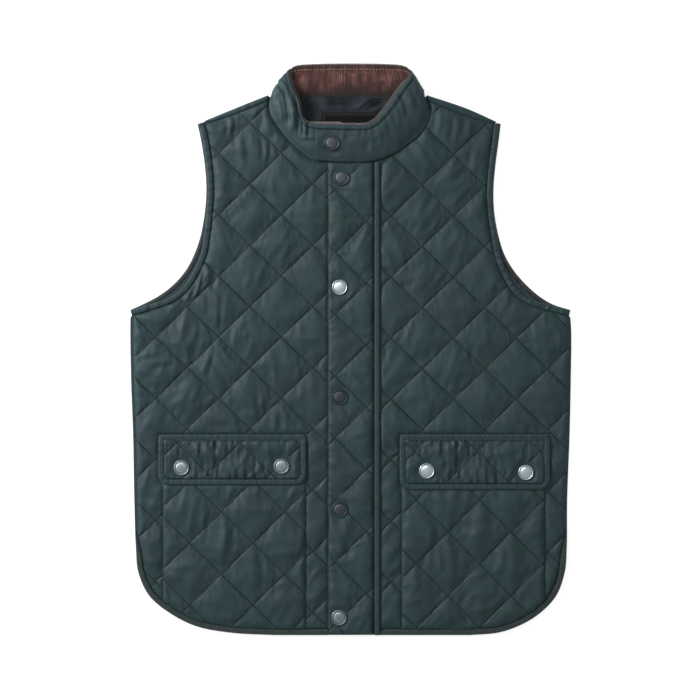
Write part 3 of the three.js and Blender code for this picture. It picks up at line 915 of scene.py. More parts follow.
class Finishes:
    """Every material of the vest, each made once."""

    def __init__(self) -> None:
        """Makes the materials."""
        self.nylon = Nylon().material()
        # A paler copy of the shell for the collar: painted light where the collar faces the light
        self.collar_nylon = Nylon(
            "collar_nylon", blue=linear(46, 66, 74), green=linear(44, 68, 68), pale=linear(60, 86, 91)
        ).material()
        self.tape = Tape().material()
        # The back's ribbed tape, with painted shade between its ribs and a painted shadow on its inner side
        self.ribbed = Tape(
            "ribbed_tape", colour=linear(8, 12, 14), worn=linear(90, 97, 102),
            rib_pitch=3.1, slant=1.2, contrast=0.6, sheen=0.03, shade=0.6, hollow=0.7,
        ).material()
        self.corduroy = Corduroy().material()
        self.lining = Lining().material()
        self.label = LabelCloth().material()
        self.silver = AntiqueSilver().material()
        self.dark_thread = ThreadFinish("dark_green_thread", linear(19, 30, 34)).material()
        self.tan_thread = ThreadFinish("tan_thread", linear(186, 148, 126)).material()
        self.paper = Paper().material()


@dataclass(frozen=True)
class Diamonds:
    """The pattern that a panel is quilted in: where two stitched lines cross, and one diamond's size."""

    x: float
    y: float
    width: float
    height: float
    cuts: int = 24
    crowding: float = 0.42

    @property
    def spacing(self) -> float:
        """The distance between stitched lines that run side by side."""
        return 1 / np.hypot(1 / self.width, 1 / self.height)

    def shares(self, x: Array, y: Array) -> tuple[Array, Array]:
        """Places counted in diamonds along the two directions: whole numbers on stitched lines."""
        across, along = (x - self.x) / self.width, (y - self.y) / self.height
        return across + along, across - along

    def cell(self, x: Array, y: Array) -> tuple[Array, Array]:
        """The diamond that each place is in, as its two whole counts."""
        rising, falling = self.shares(x, y)
        return np.floor(rising), np.floor(falling)

    def places(self, rising: Array, falling: Array) -> Array:
        """Where such counts are on the vest."""
        x = self.x + self.width * (rising + falling) / 2
        y = self.y + self.height * (rising - falling) / 2
        return np.stack([x, y], axis=-1)

    def reach(self, ring: Array) -> tuple[Array, Array]:
        """The whole counts that a ring spans in each direction."""
        rising, falling = self.shares(ring[:, 0], ring[:, 1])
        spans = [np.arange(np.floor(count.min()), np.ceil(count.max()) + 1) for count in (rising, falling)]
        return spans[0], spans[1]

    def points_in(self, ring: Array, clear: float) -> Array:
        """Grid points inside a ring, crowded towards the stitched lines.

        In a diamond the cuts lie at t - c * sin(2 pi t) / 2 pi, so they are close at its edges.

        Args:
            ring: The panel's outline.
            clear: How far inside the outline the points stay.

        Returns:
            The points, one a row.
        """
        even = np.arange(self.cuts) / self.cuts
        cuts = even - self.crowding * np.sin(TURN * even) / TURN
        rising, falling = (np.add.outer(span, cuts).ravel() for span in self.reach(ring))
        points = self.places(*np.meshgrid(rising, falling)).reshape(-1, 2)
        low, high = ring.min(axis=0), ring.max(axis=0)
        points = points[np.all((points > low) & (points < high), axis=1)]
        distance, _, inside = to_edge(points, ring, True)
        return points[inside & (distance > clear)]

    def pillow(self, x: Array, y: Array, sharpness: float = 0.55) -> Array:
        """How full the diamonds are: the product of two arches, each raised to a power below one."""
        rising, falling = self.shares(x, y)
        arches = [4 * part * (1 - part) for part in (rising - np.floor(rising), falling - np.floor(falling))]
        return (arches[0] * arches[1]) ** sharpness

    def seam_distance(self, x: Array, y: Array) -> tuple[Array, Array]:
        """The distances to the nearest stitched line of each direction."""
        near = [np.abs(count - np.round(count)) * self.spacing for count in self.shares(x, y)]
        return near[0], near[1]


@dataclass(frozen=True)
class PressRectangle:
    """A place where another layer holds the cloth down flat."""

    left: float
    right: float
    low: float
    high: float
    fade: float = 5.0

    def freedom(self, x: Array, y: Array) -> Array:
        """0 inside, rising smoothly to 1 at the fade's distance outside."""
        beyond_x = np.maximum(np.maximum(self.left - x, x - self.right), 0)
        beyond_y = np.maximum(np.maximum(self.low - y, y - self.high), 0)
        return np.sqrt(np.clip(np.hypot(beyond_x, beyond_y) / self.fade, 0, 1))


@dataclass(frozen=True)
class PressRound:
    """A place where a snap holds the cloth down."""

    x: float
    y: float
    radius: float = 10.2
    fade: float = 7.0

    def freedom(self, x: Array, y: Array) -> Array:
        """0 under the snap, rising smoothly to 1 around it."""
        return eased((np.hypot(x - self.x, y - self.y) - self.radius) / self.fade)


@dataclass(frozen=True)
class Crease:
    """A crease given one by one: from one place in the photograph to another, with its own size.

    A positive height is a soft ridge and a negative one a trough. Its width is in millimetres.
    """

    x1: float
    y1: float
    x2: float
    y2: float
    width: float
    height: float

    def rise(self, x: Array, y: Array) -> Array:
        """A bell across the crease, which fades towards its two ends."""
        start, end = np.array(from_picture(self.x1, self.y1)), np.array(from_picture(self.x2, self.y2))
        way = end - start
        length = max(float(np.hypot(*way)), 1e-6)
        share = ((x - start[0]) * way[0] + (y - start[1]) * way[1]) / length**2
        aside = ((x - start[0]) * way[1] - (y - start[1]) * way[0]) / length
        bend = 0.12 * length * np.sin(np.pi * np.clip(share, 0, 1)) * hashed(self.x1, self.y1, 3.0)
        ends = eased(share / 0.35 + 0.3) * eased((1 - share) / 0.35 + 0.3)
        return self.height * ends * np.exp(-(((aside + bend) / self.width) ** 2))


# The back is quilted in the pattern of the left front
LEFT_DIAMONDS = Diamonds(-165.3, 373.0, 78.7, 76.6)


def creased(*rows: tuple) -> list[Crease]:
    """Creases from rows of their six numbers."""
    return [Crease(*row) for row in rows]


@dataclass(frozen=True)
class Gather:
    """Small puckers that a seam pulls into the cloth beside it."""

    path: Array
    height: float
    pitch: float
    reach: float
    seed: float

    def rise(self, points: Array) -> Array:
        """Noise along the seam, which dies away from it and is strong in some stretches only."""
        distance, along, _ = to_edge(points, self.path, False)
        waves = rumple(along / self.pitch, distance / (self.pitch * 4), self.seed)
        stretches = 0.45 + 0.55 * eased(rumple(along / 55.0, 0 * along, self.seed + 5) + 0.6)
        return self.height * waves * stretches * np.exp(-distance / self.reach) * eased(distance / 2.5)


@dataclass
class StitchBook:
    """Gathers stitches and makes them one object: each is a small closed spindle."""

    length: float = 3.1
    width: float = 0.42
    height: float = 0.3
    places: list = field(default_factory=list)
    ways: list = field(default_factory=list)

    def add(self, places: Array, ways: Array) -> None:
        """Notes stitches by their middles and directions."""
        if len(places):
            self.places.append(places)
            self.ways.append(ways)

    def along(self, path: Array, pitch: float = 4.0) -> None:
        """Notes stitches along a path in space."""
        even = evenly(path, pitch)
        self.add(even, np.gradient(even, axis=0))

    def make(self, name: str, material: bpy.types.Material) -> bpy.types.Object:
        """Makes the noted stitches: a spindle of three rings of five points, set along each direction.

        Args:
            name: The piece's name.
            material: The thread's finish.

        Returns:
            The object.
        """
        middles, ways = np.vstack(self.places), np.vstack(self.ways)
        ahead = ways / np.linalg.norm(ways, axis=1)[:, None]
        beside = np.cross(np.array([0.0, 0.0, 1.0]), ahead)
        beside /= np.linalg.norm(beside, axis=1)[:, None]
        upward = np.cross(ahead, beside)
        around = 5
        angles = np.arange(around) / around * TURN + np.pi / 2
        rings = []
        for place, size in ((-0.5, 0.4), (0.0, 1.0), (0.5, 0.4)):
            ring = np.stack([np.full(around, place * self.length), np.cos(angles) * size * self.width,
                             np.sin(angles) * size * self.height], axis=1)
            rings.append(ring)
        spindle = np.vstack(rings)
        points = middles[:, None, :] + (
            spindle[None, :, 0:1] * ahead[:, None, :]
            + spindle[None, :, 1:2] * beside[:, None, :]
            + spindle[None, :, 2:3] * upward[:, None, :]
        )
        _, one = skinned(points[0].reshape(-1, around, 3))
        shifts = (np.arange(len(points)) * len(spindle))[:, None, None]
        faces = []
        for corners in (4, around):
            same = np.array([face for face in one if len(face) == corners])
            faces += (same[None] + shifts).reshape(-1, corners).tolist()
        piece = new_piece(name, points.reshape(-1, 3), faces, material)
        return piece


@dataclass
class ClothBench:
    """Fills all the quilted tops at once with Blender's Cloth.

    Each top starts a little too wide. Its seams and edges are held and drawn together to their places,
    so the spare cloth between them falls into folds, and a light pressure stands for the wadding.
    The solver works in units of ten centimetres, which suit its stiffnesses.
    """

    scale: float = 0.01
    frames: int = 17
    drawn_by: int = 9
    spare_across: float = 0.014
    spare_along: float = 0.007
    pressure: float = 0.6
    bending: float = 0.012
    tops: dict = field(default_factory=dict)

    def lay(self, name: str, points: Array, triangles: Array, held: Array) -> None:
        """Lays a top on the bench.

        Args:
            name: The panel's name.
            points: Its points in millimetres.
            triangles: Its faces.
            held: Which points are held.
        """
        middle = np.append((points[:, :2].min(axis=0) + points[:, :2].max(axis=0)) / 2, 0.0)
        centred = (points - middle) * self.scale
        wide = centred * np.array([1 + self.spare_across, 1 + self.spare_along, 1.0])
        mesh = bpy.data.meshes.new(name)
        mesh.from_pydata(wide.tolist(), [], triangles.tolist())
        top = bpy.data.objects.new(f"{name}_on_bench", mesh)
        bpy.context.scene.collection.objects.link(top)
        top.vertex_groups.new(name="held").add(np.flatnonzero(held).tolist(), 1.0, "REPLACE")
        top.shape_key_add(name="Basis")
        drawn = top.shape_key_add(name="drawn")
        drawn.data.foreach_set("co", centred.ravel())
        for share, frame in ((0.0, 1), (1.0, self.drawn_by)):
            drawn.value = share
            drawn.keyframe_insert("value", frame=frame)
        self.soften(top)
        self.tops[name] = (top, middle)

    def soften(self, top: bpy.types.Object) -> None:
        """Gives a top the Cloth modifier of a light, limp nylon."""
        cloth = top.modifiers.new("cloth", "CLOTH")
        settings = cloth.settings
        settings.quality = 5
        settings.mass = 0.01
        settings.tension_stiffness = settings.compression_stiffness = 25
        settings.shear_stiffness = 10
        settings.bending_stiffness = self.bending
        settings.tension_damping = settings.compression_damping = settings.shear_damping = 1
        settings.bending_damping = 0.05
        settings.air_damping = 0.5
        settings.vertex_group_mass = "held"
        settings.use_pressure = True
        settings.uniform_pressure_force = self.pressure
        settings.effector_weights.gravity = 0
        cloth.collision_settings.use_collision = False
        cloth.point_cache.frame_end = self.frames

    def settle(self) -> dict[str, Array]:
        """Runs the cloth of all tops together and clears the bench.

        Returns:
            Each panel's settled points in millimetres.
        """
        for frame in range(1, self.frames + 1):
            bpy.context.scene.frame_set(frame)
        graph = bpy.context.evaluated_depsgraph_get()
        settled = {}
        for name, (top, middle) in self.tops.items():
            mesh = top.evaluated_get(graph).data
            places = np.empty(len(mesh.vertices) * 3)
            mesh.vertices.foreach_get("co", places)
            settled[name] = places.reshape(-1, 3) / self.scale + middle
        for top, _ in self.tops.values():
            mesh, action = top.data, top.data.shape_keys.animation_data.action
            bpy.data.objects.remove(top)
            bpy.data.meshes.remove(mesh)
            bpy.data.actions.remove(action)
        bpy.context.scene.frame_set(1)
        return settled


@dataclass
class QuiltedPanel:
    """A panel of quilted cloth: puffed diamonds above, plain below, with creases and puckers."""

    name: str
    node: str
    ring: Array
    diamonds: Diamonds
    level: float
    puff: float
    presses: list = field(default_factory=list)
    creases: list = field(default_factory=list)
    gathers: list = field(default_factory=list)
    edge_roll: float = 7.0
    liveliness: float = 0.35
    pleats: float = 0.55
    calm: float = 0.5
    crease_gain: float = 1.25
    facets: float = 0.95
    # How light the painted shade at the outline stays, and how deep the painted shade of the stitched lines
    # goes
    outline_tone: float = 0.45
    seam_tone: float = 0.8
    crossing: float = 0.45
    seed: float = 1.0
    # How wide the sewn wall rounds over, and how wide the painted shade of a stitched line and of the outline
    # is
    wall_width: float = 2.2
    seam_width: float = 1.9
    outline_width: float = 2.4
    # Points this near a stitched line, or this little free, are held while the cloth settles
    held_near: float = 0.05
    held_free: float = 0.06
    # The underside's net: cuts in a diamond, and how far it stays inside the outline
    under_cuts: int = 6
    under_clear: float = 5.0
    thread_lift: float = 0.12
    half_stitch: float = 1.2
    top: Array | None = None
    triangles: Array | None = None

    def freedom(self, points: Array) -> Array:
        """How free the cloth is: 0 at the outline and under what presses on it, 1 well inside."""
        distance, _, _ = to_edge(points, self.ring, True)
        free = np.sqrt(np.clip(distance / self.edge_roll, 0, 1))
        for press in self.presses:
            free = free * press.freedom(points[:, 0], points[:, 1])
        return free

    def height(self, points: Array) -> Array:
        """The top of the cloth: its level, the sewn wall, the pillows and what creases them.

        The pillows grow from the outline inwards by the square root of the share of the edge's roll,
        and are flat where something presses on them.

        Args:
            points: Places on the panel, one a row.

        Returns:
            The height at each place.
        """
        x, y = points[:, 0], points[:, 1]
        rising, falling = self.diamonds.cell(x, y)
        distance, _, _ = to_edge(points, self.ring, True)
        free = self.freedom(points)
        pillow = self.diamonds.pillow(x, y)
        own = 1 - self.liveliness / 2 + self.liveliness * hashed(rising, falling, self.seed)
        tilt_x = (hashed(rising, falling, self.seed + 1) - 0.5) * 0.5
        tilt_y = (hashed(rising, falling, self.seed + 2) - 0.5) * 0.5
        centre = self.diamonds.places(rising + 0.5, falling + 0.5)
        lean = (x - centre[:, 0]) / 40 * tilt_x + (y - centre[:, 1]) / 40 * tilt_y
        soft = pillow**0.6
        wrinkles = self.wrinkles(points, rising, falling) * soft
        rim = np.sqrt(1 - (1 - np.clip(distance / self.wall_width, 0, 1)) ** 2)
        wall = LEVELS.stitched * (0.35 + 0.65 * rim)
        full = self.puff * pillow * own * (1 + lean) + wrinkles
        return self.level + LEVELS.lifted(x, y) + wall + np.maximum(full, 0) * free

    def wrinkles(self, points: Array, rising: Array, falling: Array) -> Array:
        """Pleats that run up and down, or lean, within each diamond.

        Args:
            points: Places on the panel.
            rising: Each place's diamond, counted one way.
            falling: The same, counted the other way.

        Returns:
            What they add to the height.
        """
        x, y = points[:, 0], points[:, 1]
        own = hashed(rising, falling, self.seed + 7)
        lean = (hashed(rising, falling, self.seed + 8) - 0.5) * 1.1
        shifted = x + lean * y + own * 300
        strength = np.clip(hashed(rising, falling, self.seed + 9) * 1.5 - 0.35, 0, 1)
        pleats = rumple(shifted / 11.0, y / 48 + own * 9, self.seed) * 0.75
        pleats += rumple(shifted / 6.0, y / 28 + own * 5, self.seed + 3) * 0.25
        broad = rumple(x / 27 + own * 40, y / 21, self.seed + 4) * 0.6
        return self.pleats * (pleats * strength * 1.3 + broad)

    def placed(self, points: Array) -> Array:
        """What the listed creases and the gathered seams add, fading out at the stitched lines."""
        x, y = points[:, 0], points[:, 1]
        total = np.zeros(len(points))
        for crease in self.creases:
            total = total + self.crease_gain * crease.rise(x, y)
        for gather in self.gathers:
            total = total + gather.rise(points)
        rising, falling = self.diamonds.cell(x, y)
        own = hashed(rising, falling, self.seed + 21)
        lean = (hashed(rising, falling, self.seed + 22) - 0.5) * 1.6
        crest = np.abs(rumple((x + lean * y) / 14.0 + own * 90, y / 24.0 + own * 31, self.seed + 23))
        cross = np.abs(rumple(x / 31.0 + own * 50, (y + lean * x * 0.6) / 15.0, self.seed + 24))
        total = total + self.facets * (1.0 - 2.0 * crest) + self.facets * 0.7 * (1.0 - 2.0 * cross)
        return total * self.diamonds.pillow(x, y) ** self.crossing * self.freedom(points)

    def lay_out(self, bench: ClothBench) -> None:
        """Nets the panel's top and lays it on the bench, held along its seams, outline and pressed parts."""
        flat, self.triangles = netted(self.ring, self.diamonds.points_in(self.ring, 1.2))
        self.top = np.column_stack([flat, self.height(flat)])
        x, y = flat[:, 0], flat[:, 1]
        near = np.minimum(*self.diamonds.seam_distance(x, y))
        at_outline = np.arange(len(flat)) < len(self.ring)
        pressed = self.freedom(flat) < self.held_free
        bench.lay(self.name, self.top, self.triangles, (near < self.held_near) | at_outline | pressed)

    def take(self, settled: dict[str, Array]) -> None:
        """Takes the settled cloth off the bench: some diamonds keep all its folds, others fewer.

        Args:
            settled: Each panel's points after the simulation.
        """
        flat = self.top[:, :2]
        lowest = np.minimum(self.top[:, 2], self.level + LEVELS.lifted(*flat.T) + 0.5 * LEVELS.stitched)
        placed = self.placed(flat)
        if self.name in settled:
            rising, falling = self.diamonds.cell(*flat.T)
            share = 1 - self.calm * hashed(rising, falling, self.seed + 15)
            self.top = self.top + (settled[self.name] - self.top) * share[:, None]
        self.top[:, 2] = np.maximum(self.top[:, 2] + placed, lowest)

    def build(self, finishes: Finishes, held: str = "laid", rests_on: tuple = ()) -> bpy.types.Object:
        """Makes the panel: its top as a net of triangles, a wall round its edge and a flat underside.

        Args:
            finishes: The materials.
            held: Not used.
            rests_on: Not used.

        Returns:
            The panel's object.
        """
        top, triangles, count = self.top, self.triangles, len(self.ring)
        coarse = replace(self.diamonds, cuts=self.under_cuts, crowding=0.0)
        below, below_triangles = netted(self.ring, coarse.points_in(self.ring, self.under_clear))
        floor = np.column_stack([below, self.level + LEVELS.lifted(below[:, 0], below[:, 1])])
        first = len(top)
        here = np.arange(count)
        ahead = (here + 1) % count
        wall = np.stack([here, first + here, first + ahead, ahead], axis=1)
        faces = triangles.tolist() + wall.tolist() + (first + below_triangles[:, ::-1]).tolist()
        points = np.vstack([top, floor])
        # Painted shade for the seam note: darker in the stitched lines and towards the outline, where the
        # layers meet
        near = np.minimum(*self.diamonds.seam_distance(points[:, 0], points[:, 1]))
        to_outline, _, _ = to_edge(points, self.ring, True)
        seam = np.minimum(near / self.seam_width, to_outline / self.outline_width + self.outline_tone)
        seam = 1 - (1 - eased(seam)) * self.seam_tone
        rising, falling = self.diamonds.cell(points[:, 0], points[:, 1])
        notes = {"seam": seam, "tint": hashed(rising, falling, self.seed + 11)}
        piece = new_piece(self.name, points, faces, finishes.nylon, notes, crease_angle=38)
        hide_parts(self.node)
        ring_area(self.ring) * MM * MM
        return piece

    def quilting(self, book: StitchBook, pitch: float = 4.0) -> None:
        """Notes the stitches of every quilted line that lies free on the panel.

        Args:
            book: Where the stitches are noted.
            pitch: The distance from one stitch to the next.
        """
        spans = self.diamonds.reach(self.ring)
        step = pitch / self.diamonds.spacing
        for direction in (0, 1):
            lines, lengths = spans[direction], spans[1 - direction]
            runs = np.arange(lengths[0], lengths[-1], step) + step / 2
            fixed, moving = np.meshgrid(lines, runs)
            pair = (fixed, moving) if direction == 0 else (moving, fixed)
            middles = self.diamonds.places(*pair).reshape(-1, 2)
            distance, _, inside = to_edge(middles, self.ring, True)
            middles = middles[inside & (distance > 1.5)]
            free = np.ones(len(middles))
            for press in self.presses:
                free = free * press.freedom(middles[:, 0], middles[:, 1])
            middles = middles[free > 0.2]
            origin = self.diamonds.places(np.array(0.0), np.array(0.0))
            step_on = self.diamonds.places(np.array(float(direction)), np.array(1.0 - direction)) - origin
            way = step_on / np.linalg.norm(step_on)
            ahead = self.height(middles + way * self.half_stitch)
            behind = self.height(middles - way * self.half_stitch)
            places = np.column_stack([middles, self.height(middles) + self.thread_lift])
            ways = np.column_stack([np.tile(way * 2 * self.half_stitch, (len(middles), 1)), ahead - behind])
            book.add(places, ways)

    def topstitch(
        self, book: StitchBook, start: tuple, end: tuple, lift: float, pitch: float, count: int = 90
    ) -> None:
        """Notes a straight row of stitches on the panel's top.

        Args:
            book: Where the stitches are noted.
            start: The row's start, across and up from the hem.
            end: Its end.
            lift: How far the thread lies above the cloth.
            pitch: The distance from one stitch to the next.
            count: In how many points the row follows the cloth.
        """
        row = np.linspace([*start, 0.0], [*end, 0.0], count)
        row[:, 2] = self.height(row[:, :2]) + lift
        book.along(row, pitch)


def level_floor(height: float) -> Callable[[Array, Array], Array]:
    """The floor of a tape that lies at one height, before the rise near the neck."""
    return lambda x, y: height + 0 * x


@dataclass
class Binding:
    """A folded tape along an edge: a rounded strip on the left of a path."""

    name: str
    node: str
    path: Array
    low: Callable[[Array, Array], Array]
    rise: float = LEVELS.binding_rise
    width: float = LEVELS.binding_width
    closed: bool = False
    gathered: float = 0.10
    pitch: float = 1.0
    seed: float = 1.0
    narrows: float = 1e6
    spacing: float = 1.3
    bluntness: float = 0.75

    def build(self, material: bpy.types.Material, slot: str = "binding") -> bpy.types.Object:
        """Makes the tape: its section is flat below and a blunt arch above, a little uneven along it.

        Args:
            material: The tape's finish.
            slot: Not used.

        Returns:
            The object.
        """
        path = evenly(np.vstack([self.path, self.path[:1]]) if self.closed else self.path, self.spacing)
        if self.closed:
            path = path[:-1]
        lengths = travelled(path)
        turns = np.linspace(0, np.pi, 13)
        across = 0.5 - 0.5 * np.sign(np.cos(turns)) * np.abs(np.cos(turns)) ** self.bluntness
        up = np.abs(np.sin(turns)) ** self.bluntness
        across = np.concatenate([across, [0.75, 0.5, 0.25]])
        up = np.concatenate([up, [0.0, 0.0, 0.0]])
        wave = rumple(lengths / (6.5 * self.pitch), lengths * 0, self.seed)
        wave = wave + 0.5 * rumple(lengths / (3.1 * self.pitch), lengths * 0, self.seed + 1)
        tall = 1 - self.gathered + self.gathered * wave
        left = sideways(path, self.closed)
        slim = narrowing(path[:, 1], self.narrows)
        tall = tall * (0.4 + 0.6 * slim)
        width = (self.width * slim)[:, None]
        place = path[:, None, :] + left[:, None, :] * (across[None, :] * width)[..., None]
        floor = self.low(place[..., 0], place[..., 1]) + LEVELS.lifted(place[..., 0], place[..., 1])
        dimple = 1 - 0.16 * np.exp(-(((across - 0.62) / 0.07) ** 2))
        height = floor + (up * dimple)[None, :] * (self.rise * tall)[:, None]
        rings = np.concatenate([place, height[..., None]], axis=2)
        points, faces = skinned(rings, self.closed)
        # The seam note is painted shade: the tape darkens from its crown towards its low edges
        notes = {
            "along": np.repeat(lengths, len(across)),
            "across": np.tile(across * self.width, len(path)),
            "seam": np.tile(0.55 + 0.45 * up, len(path)),
            "tint": np.full(len(points), 0.4),
        }
        piece = new_piece(self.name, points, faces, material, notes)
        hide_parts(self.node)
        return piece


class VestBack:
    """The back panel under everything, and its shoulders folded forward."""

    def __init__(self, finishes: Finishes) -> None:
        """Keeps the materials."""
        self.finishes = finishes
        self.width = LEVELS.binding_width - 1.0

    def outline(self) -> Array:
        """The panel's ring inside its bindings."""
        sections = []
        neck_left, neck_right, neck_level = CUT.back_neck
        neck = np.array([[neck_right, neck_level], [neck_left, neck_level]])
        for side in (Side.RIGHT, Side.LEFT):
            hem = moved_left(cloth_on_left(hem_path(side, 0.0), side), self.width)
            flank = side_path(side)
            flank = flank[(flank[:, 1] >= CUT.vent_top) & (flank[:, 1] < CUT.back_side_top)]
            arm = moved_left(cloth_on_left(armhole_path(side, Layer.BACK), side), self.width)
            shoulder = shoulder_path(side, CUT.shoulder_edge)[::-1]
            shoulder = shoulder[np.abs(shoulder[:, 0]) < CUT.back_shoulder_end]
            if side is Side.RIGHT:
                sections += [hem, flank, arm, shoulder, neck]
            else:
                sections += [shoulder[::-1], arm, flank[::-1], hem]
        return joined(sections, 3.0)

    def build(self) -> list[bpy.types.Object]:
        """Makes the panel, its shoulder rolls and its three bindings.

        Returns:
            The objects.
        """
        ring = self.outline()
        pattern = replace(LEFT_DIAMONDS, cuts=12, crowding=0.4)
        flat, triangles = netted(ring, pattern.points_in(ring, 1.0))
        count = len(ring)
        distance, _, _ = to_edge(flat, ring, True)
        groove = 1.0 * (1 - pattern.pillow(flat[:, 0], flat[:, 1]) * eased(distance / 6))
        under = np.column_stack([flat, groove])
        top = np.column_stack([ring, np.full(count, LEVELS.back)])
        first = len(under)
        here = np.arange(count)
        ahead = (here + 1) % count
        wall = np.stack([here, ahead, first + ahead, first + here], axis=1)
        faces = triangles[:, ::-1].tolist() + wall.tolist() + [(first + here).tolist()]
        points = np.vstack([under, top])
        # Painted shade down in the back's quilted lines
        near = np.minimum(*pattern.seam_distance(points[:, 0], points[:, 1]))
        notes = {"seam": eased(near / 2.6), "tint": np.full(len(points), 0.4)}
        panel = new_piece("back_quilt", points, faces, self.finishes.nylon, notes, crease_angle=60)
        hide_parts("back_panel")
        ring_area(ring) * MM * MM
        made = [panel, *(self.shoulder_roll(side) for side in Side)]
        left_hem, right_hem = (hem_path(side, 0.0, beyond=3.0) for side in (Side.LEFT, Side.RIGHT))
        hem = np.vstack([left_hem[::-1][:-1], right_hem])
        floor = level_floor(LEVELS.off_floor)
        hem_tape = Binding("hem_tape_back", "hem_binding_back", hem, floor, LEVELS.back)
        made.append(hem_tape.build(self.finishes.tape))
        for side in Side:
            edge = cloth_on_left(armhole_path(side, Layer.BACK), side)
            tape = Binding(
                f"armhole_tape_back_{side.hand}", f"armhole_binding_back_{side.hand}", edge,
                floor, LEVELS.back + 0.3, gathered=0.2, seed=3.0 + side.value,
            )
            made.append(tape.build(self.finishes.ribbed))
        return made

    def shoulder_roll(self, side: Side) -> bpy.types.Object:
        """The strip of the back that shows in front of the shoulder line, rolled over its padding."""
        edge = evenly(shoulder_path(side, CUT.shoulder_edge), 1.5)
        edge = edge[np.abs(edge[:, 0]) < CUT.roll_end]
        seam = shoulder_path(side, CUT.shoulder_seam)
        share = np.linspace(0, 1, len(edge))
        seam_share = np.linspace(0, 1, len(seam))
        inner = np.stack([np.interp(share, seam_share, column) for column in seam.T], axis=1)
        lengths = travelled(edge)
        across = np.array([0.0, -0.03, 0.0, 0.1, 0.25, 0.45, 0.62, 0.78, 0.9, 0.99, 1.0, 0.5])
        up = np.array([0.1, 0.35, 0.6, 0.85, 0.97, 1.0, 0.99, 0.96, 0.9, 0.8, 0.1, 0.05])
        place = edge[:, None, :] + (inner - edge)[:, None, :] * across[None, :, None]
        puff = LEVELS.stitched + 0.6
        top = LEVELS.front + puff + LEVELS.lifted(place[..., 0], place[..., 1])
        pucker = rumple(lengths / 6.0, 0 * lengths, 21.0 + side.value) * 0.45
        height = 1.2 + (top - 1.2 + pucker[:, None]) * up[None, :]
        rings = np.concatenate([place, height[..., None]], axis=2)
        points, faces = skinned(rings)
        # Painted shade: the roll darkens from its crown towards its low edges
        notes = {"seam": np.tile(0.5 + 0.5 * up, len(edge)), "tint": np.full(len(points), 0.3)}
        piece = new_piece(f"shoulder_roll_{side.hand}", points, faces, self.finishes.nylon, notes)
        return piece


@dataclass(frozen=True)
class FrontSizes:
    """One front's quilting and creases."""

    diamonds: Diamonds
    creases: list
    seed: float


LEFT_CREASES = creased(
    (208, 268, 206, 290, 2.3, 1.5), (204, 268, 200, 290, 2.2, -1.6),
    (200, 273, 195, 296, 2.3, 1.5), (196, 277, 190, 298, 2.1, -1.4),
    (191, 282, 185, 302, 2.3, 1.4), (186, 287, 180, 305, 2.1, -1.3),
    (179, 291, 172, 310, 2.4, 1.3), (213, 265, 212, 288, 2.3, -1.3),
    (170, 297, 163, 314, 2.4, -1.1), (219, 270, 218, 288, 2.4, 0.9),
    (134, 356, 172, 351, 3.4, 1.2), (134, 364, 168, 359, 3.2, -1.1),
    (134, 372, 162, 375, 3.2, 1.0), (136, 388, 160, 394, 3.2, 1.0),
    (134, 397, 156, 402, 3.0, -0.9), (145, 508, 182, 512, 2.6, 0.8),
    (136, 500, 164, 502, 2.2, -0.8), (140, 560, 162, 566, 2.4, 0.8),
    (214, 287, 214, 328, 4.0, 1.1), (220, 300, 220, 331, 3.2, -1.3),
    (206.5, 297, 206, 318, 3.0, -1.0), (226, 296, 224, 322, 3.5, 0.7),
    (184, 316, 174, 350, 3.4, 0.9), (197, 324, 184, 350, 3.4, 0.9),
    (195.5, 326, 193.6, 358, 4.2, -1.3), (203, 330, 199, 350, 3.0, 0.8),
    (242, 316, 236, 344, 3.2, 1.0), (231, 330, 227, 350, 2.8, -0.9),
    (235, 330, 232, 348, 2.6, 1.0), (247, 322, 247, 345, 3.0, -0.7),
    (209.7, 352, 201.7, 377, 3.2, 1.2), (214, 352, 207, 378, 2.8, -1.0),
    (199, 386, 189, 402, 3.0, 1.0), (193, 388, 186, 402, 3.0, -1.0),
    (150, 365.5, 178, 360, 3.6, 0.9), (150, 369.5, 176, 365, 3.2, -0.9),
    (258, 380, 257, 408, 3.8, -1.1), (264, 380, 264, 404, 3.5, 0.7),
    (269, 410, 269, 432, 2.6, -0.8), (274, 412, 274, 432, 2.6, 0.8),
    (279, 412, 279, 432, 2.6, -0.8), (284, 410, 284, 432, 2.6, 0.7),
    (225.7, 116, 226, 138, 2.8, -1.3), (229.5, 116, 229.5, 136, 2.8, 0.9),
    (233, 114, 232.5, 135, 2.8, -1.3), (260, 106, 259, 133, 3.0, -1.4),
    (255, 106, 255, 130, 3.2, 0.9), (265, 108, 268, 138, 3.4, 0.8),
    (240, 138, 240, 160, 3.6, 0.8), (247, 138, 247, 160, 3.6, -0.7),
    (261.4, 139, 261.4, 160, 2.8, -1.4), (269.6, 142, 269.6, 159, 2.6, -1.2),
    (265.5, 139, 265.5, 160, 2.8, 0.9),
)

POCKET_CREASES = {
    Side.LEFT: creased(
        (225, 528, 222, 562, 5.0, 1.3), (233, 525, 229, 556, 4.0, -0.9),
        (206, 520, 203, 545, 3.5, -0.9), (258, 552, 262, 592, 4.5, -1.3),
        (250, 560, 253, 590, 4.0, 1.0), (276, 566, 272, 600, 3.5, -0.8),
        (163, 577, 172, 602, 3.0, -1.0), (168, 572, 184, 594, 2.6, 1.0),
    ),
    Side.RIGHT: creased(
        (430, 520, 427, 552, 4.5, 1.1), (440, 540, 444, 572, 4.0, -1.1),
        (470, 510, 468, 536, 3.5, -0.8), (500, 545, 497, 580, 4.5, 1.1),
        (508, 548, 506, 578, 3.5, -1.0), (412, 560, 416, 592, 3.5, 0.9),
        (530, 560, 520, 590, 3.2, -0.8),
    ),
}

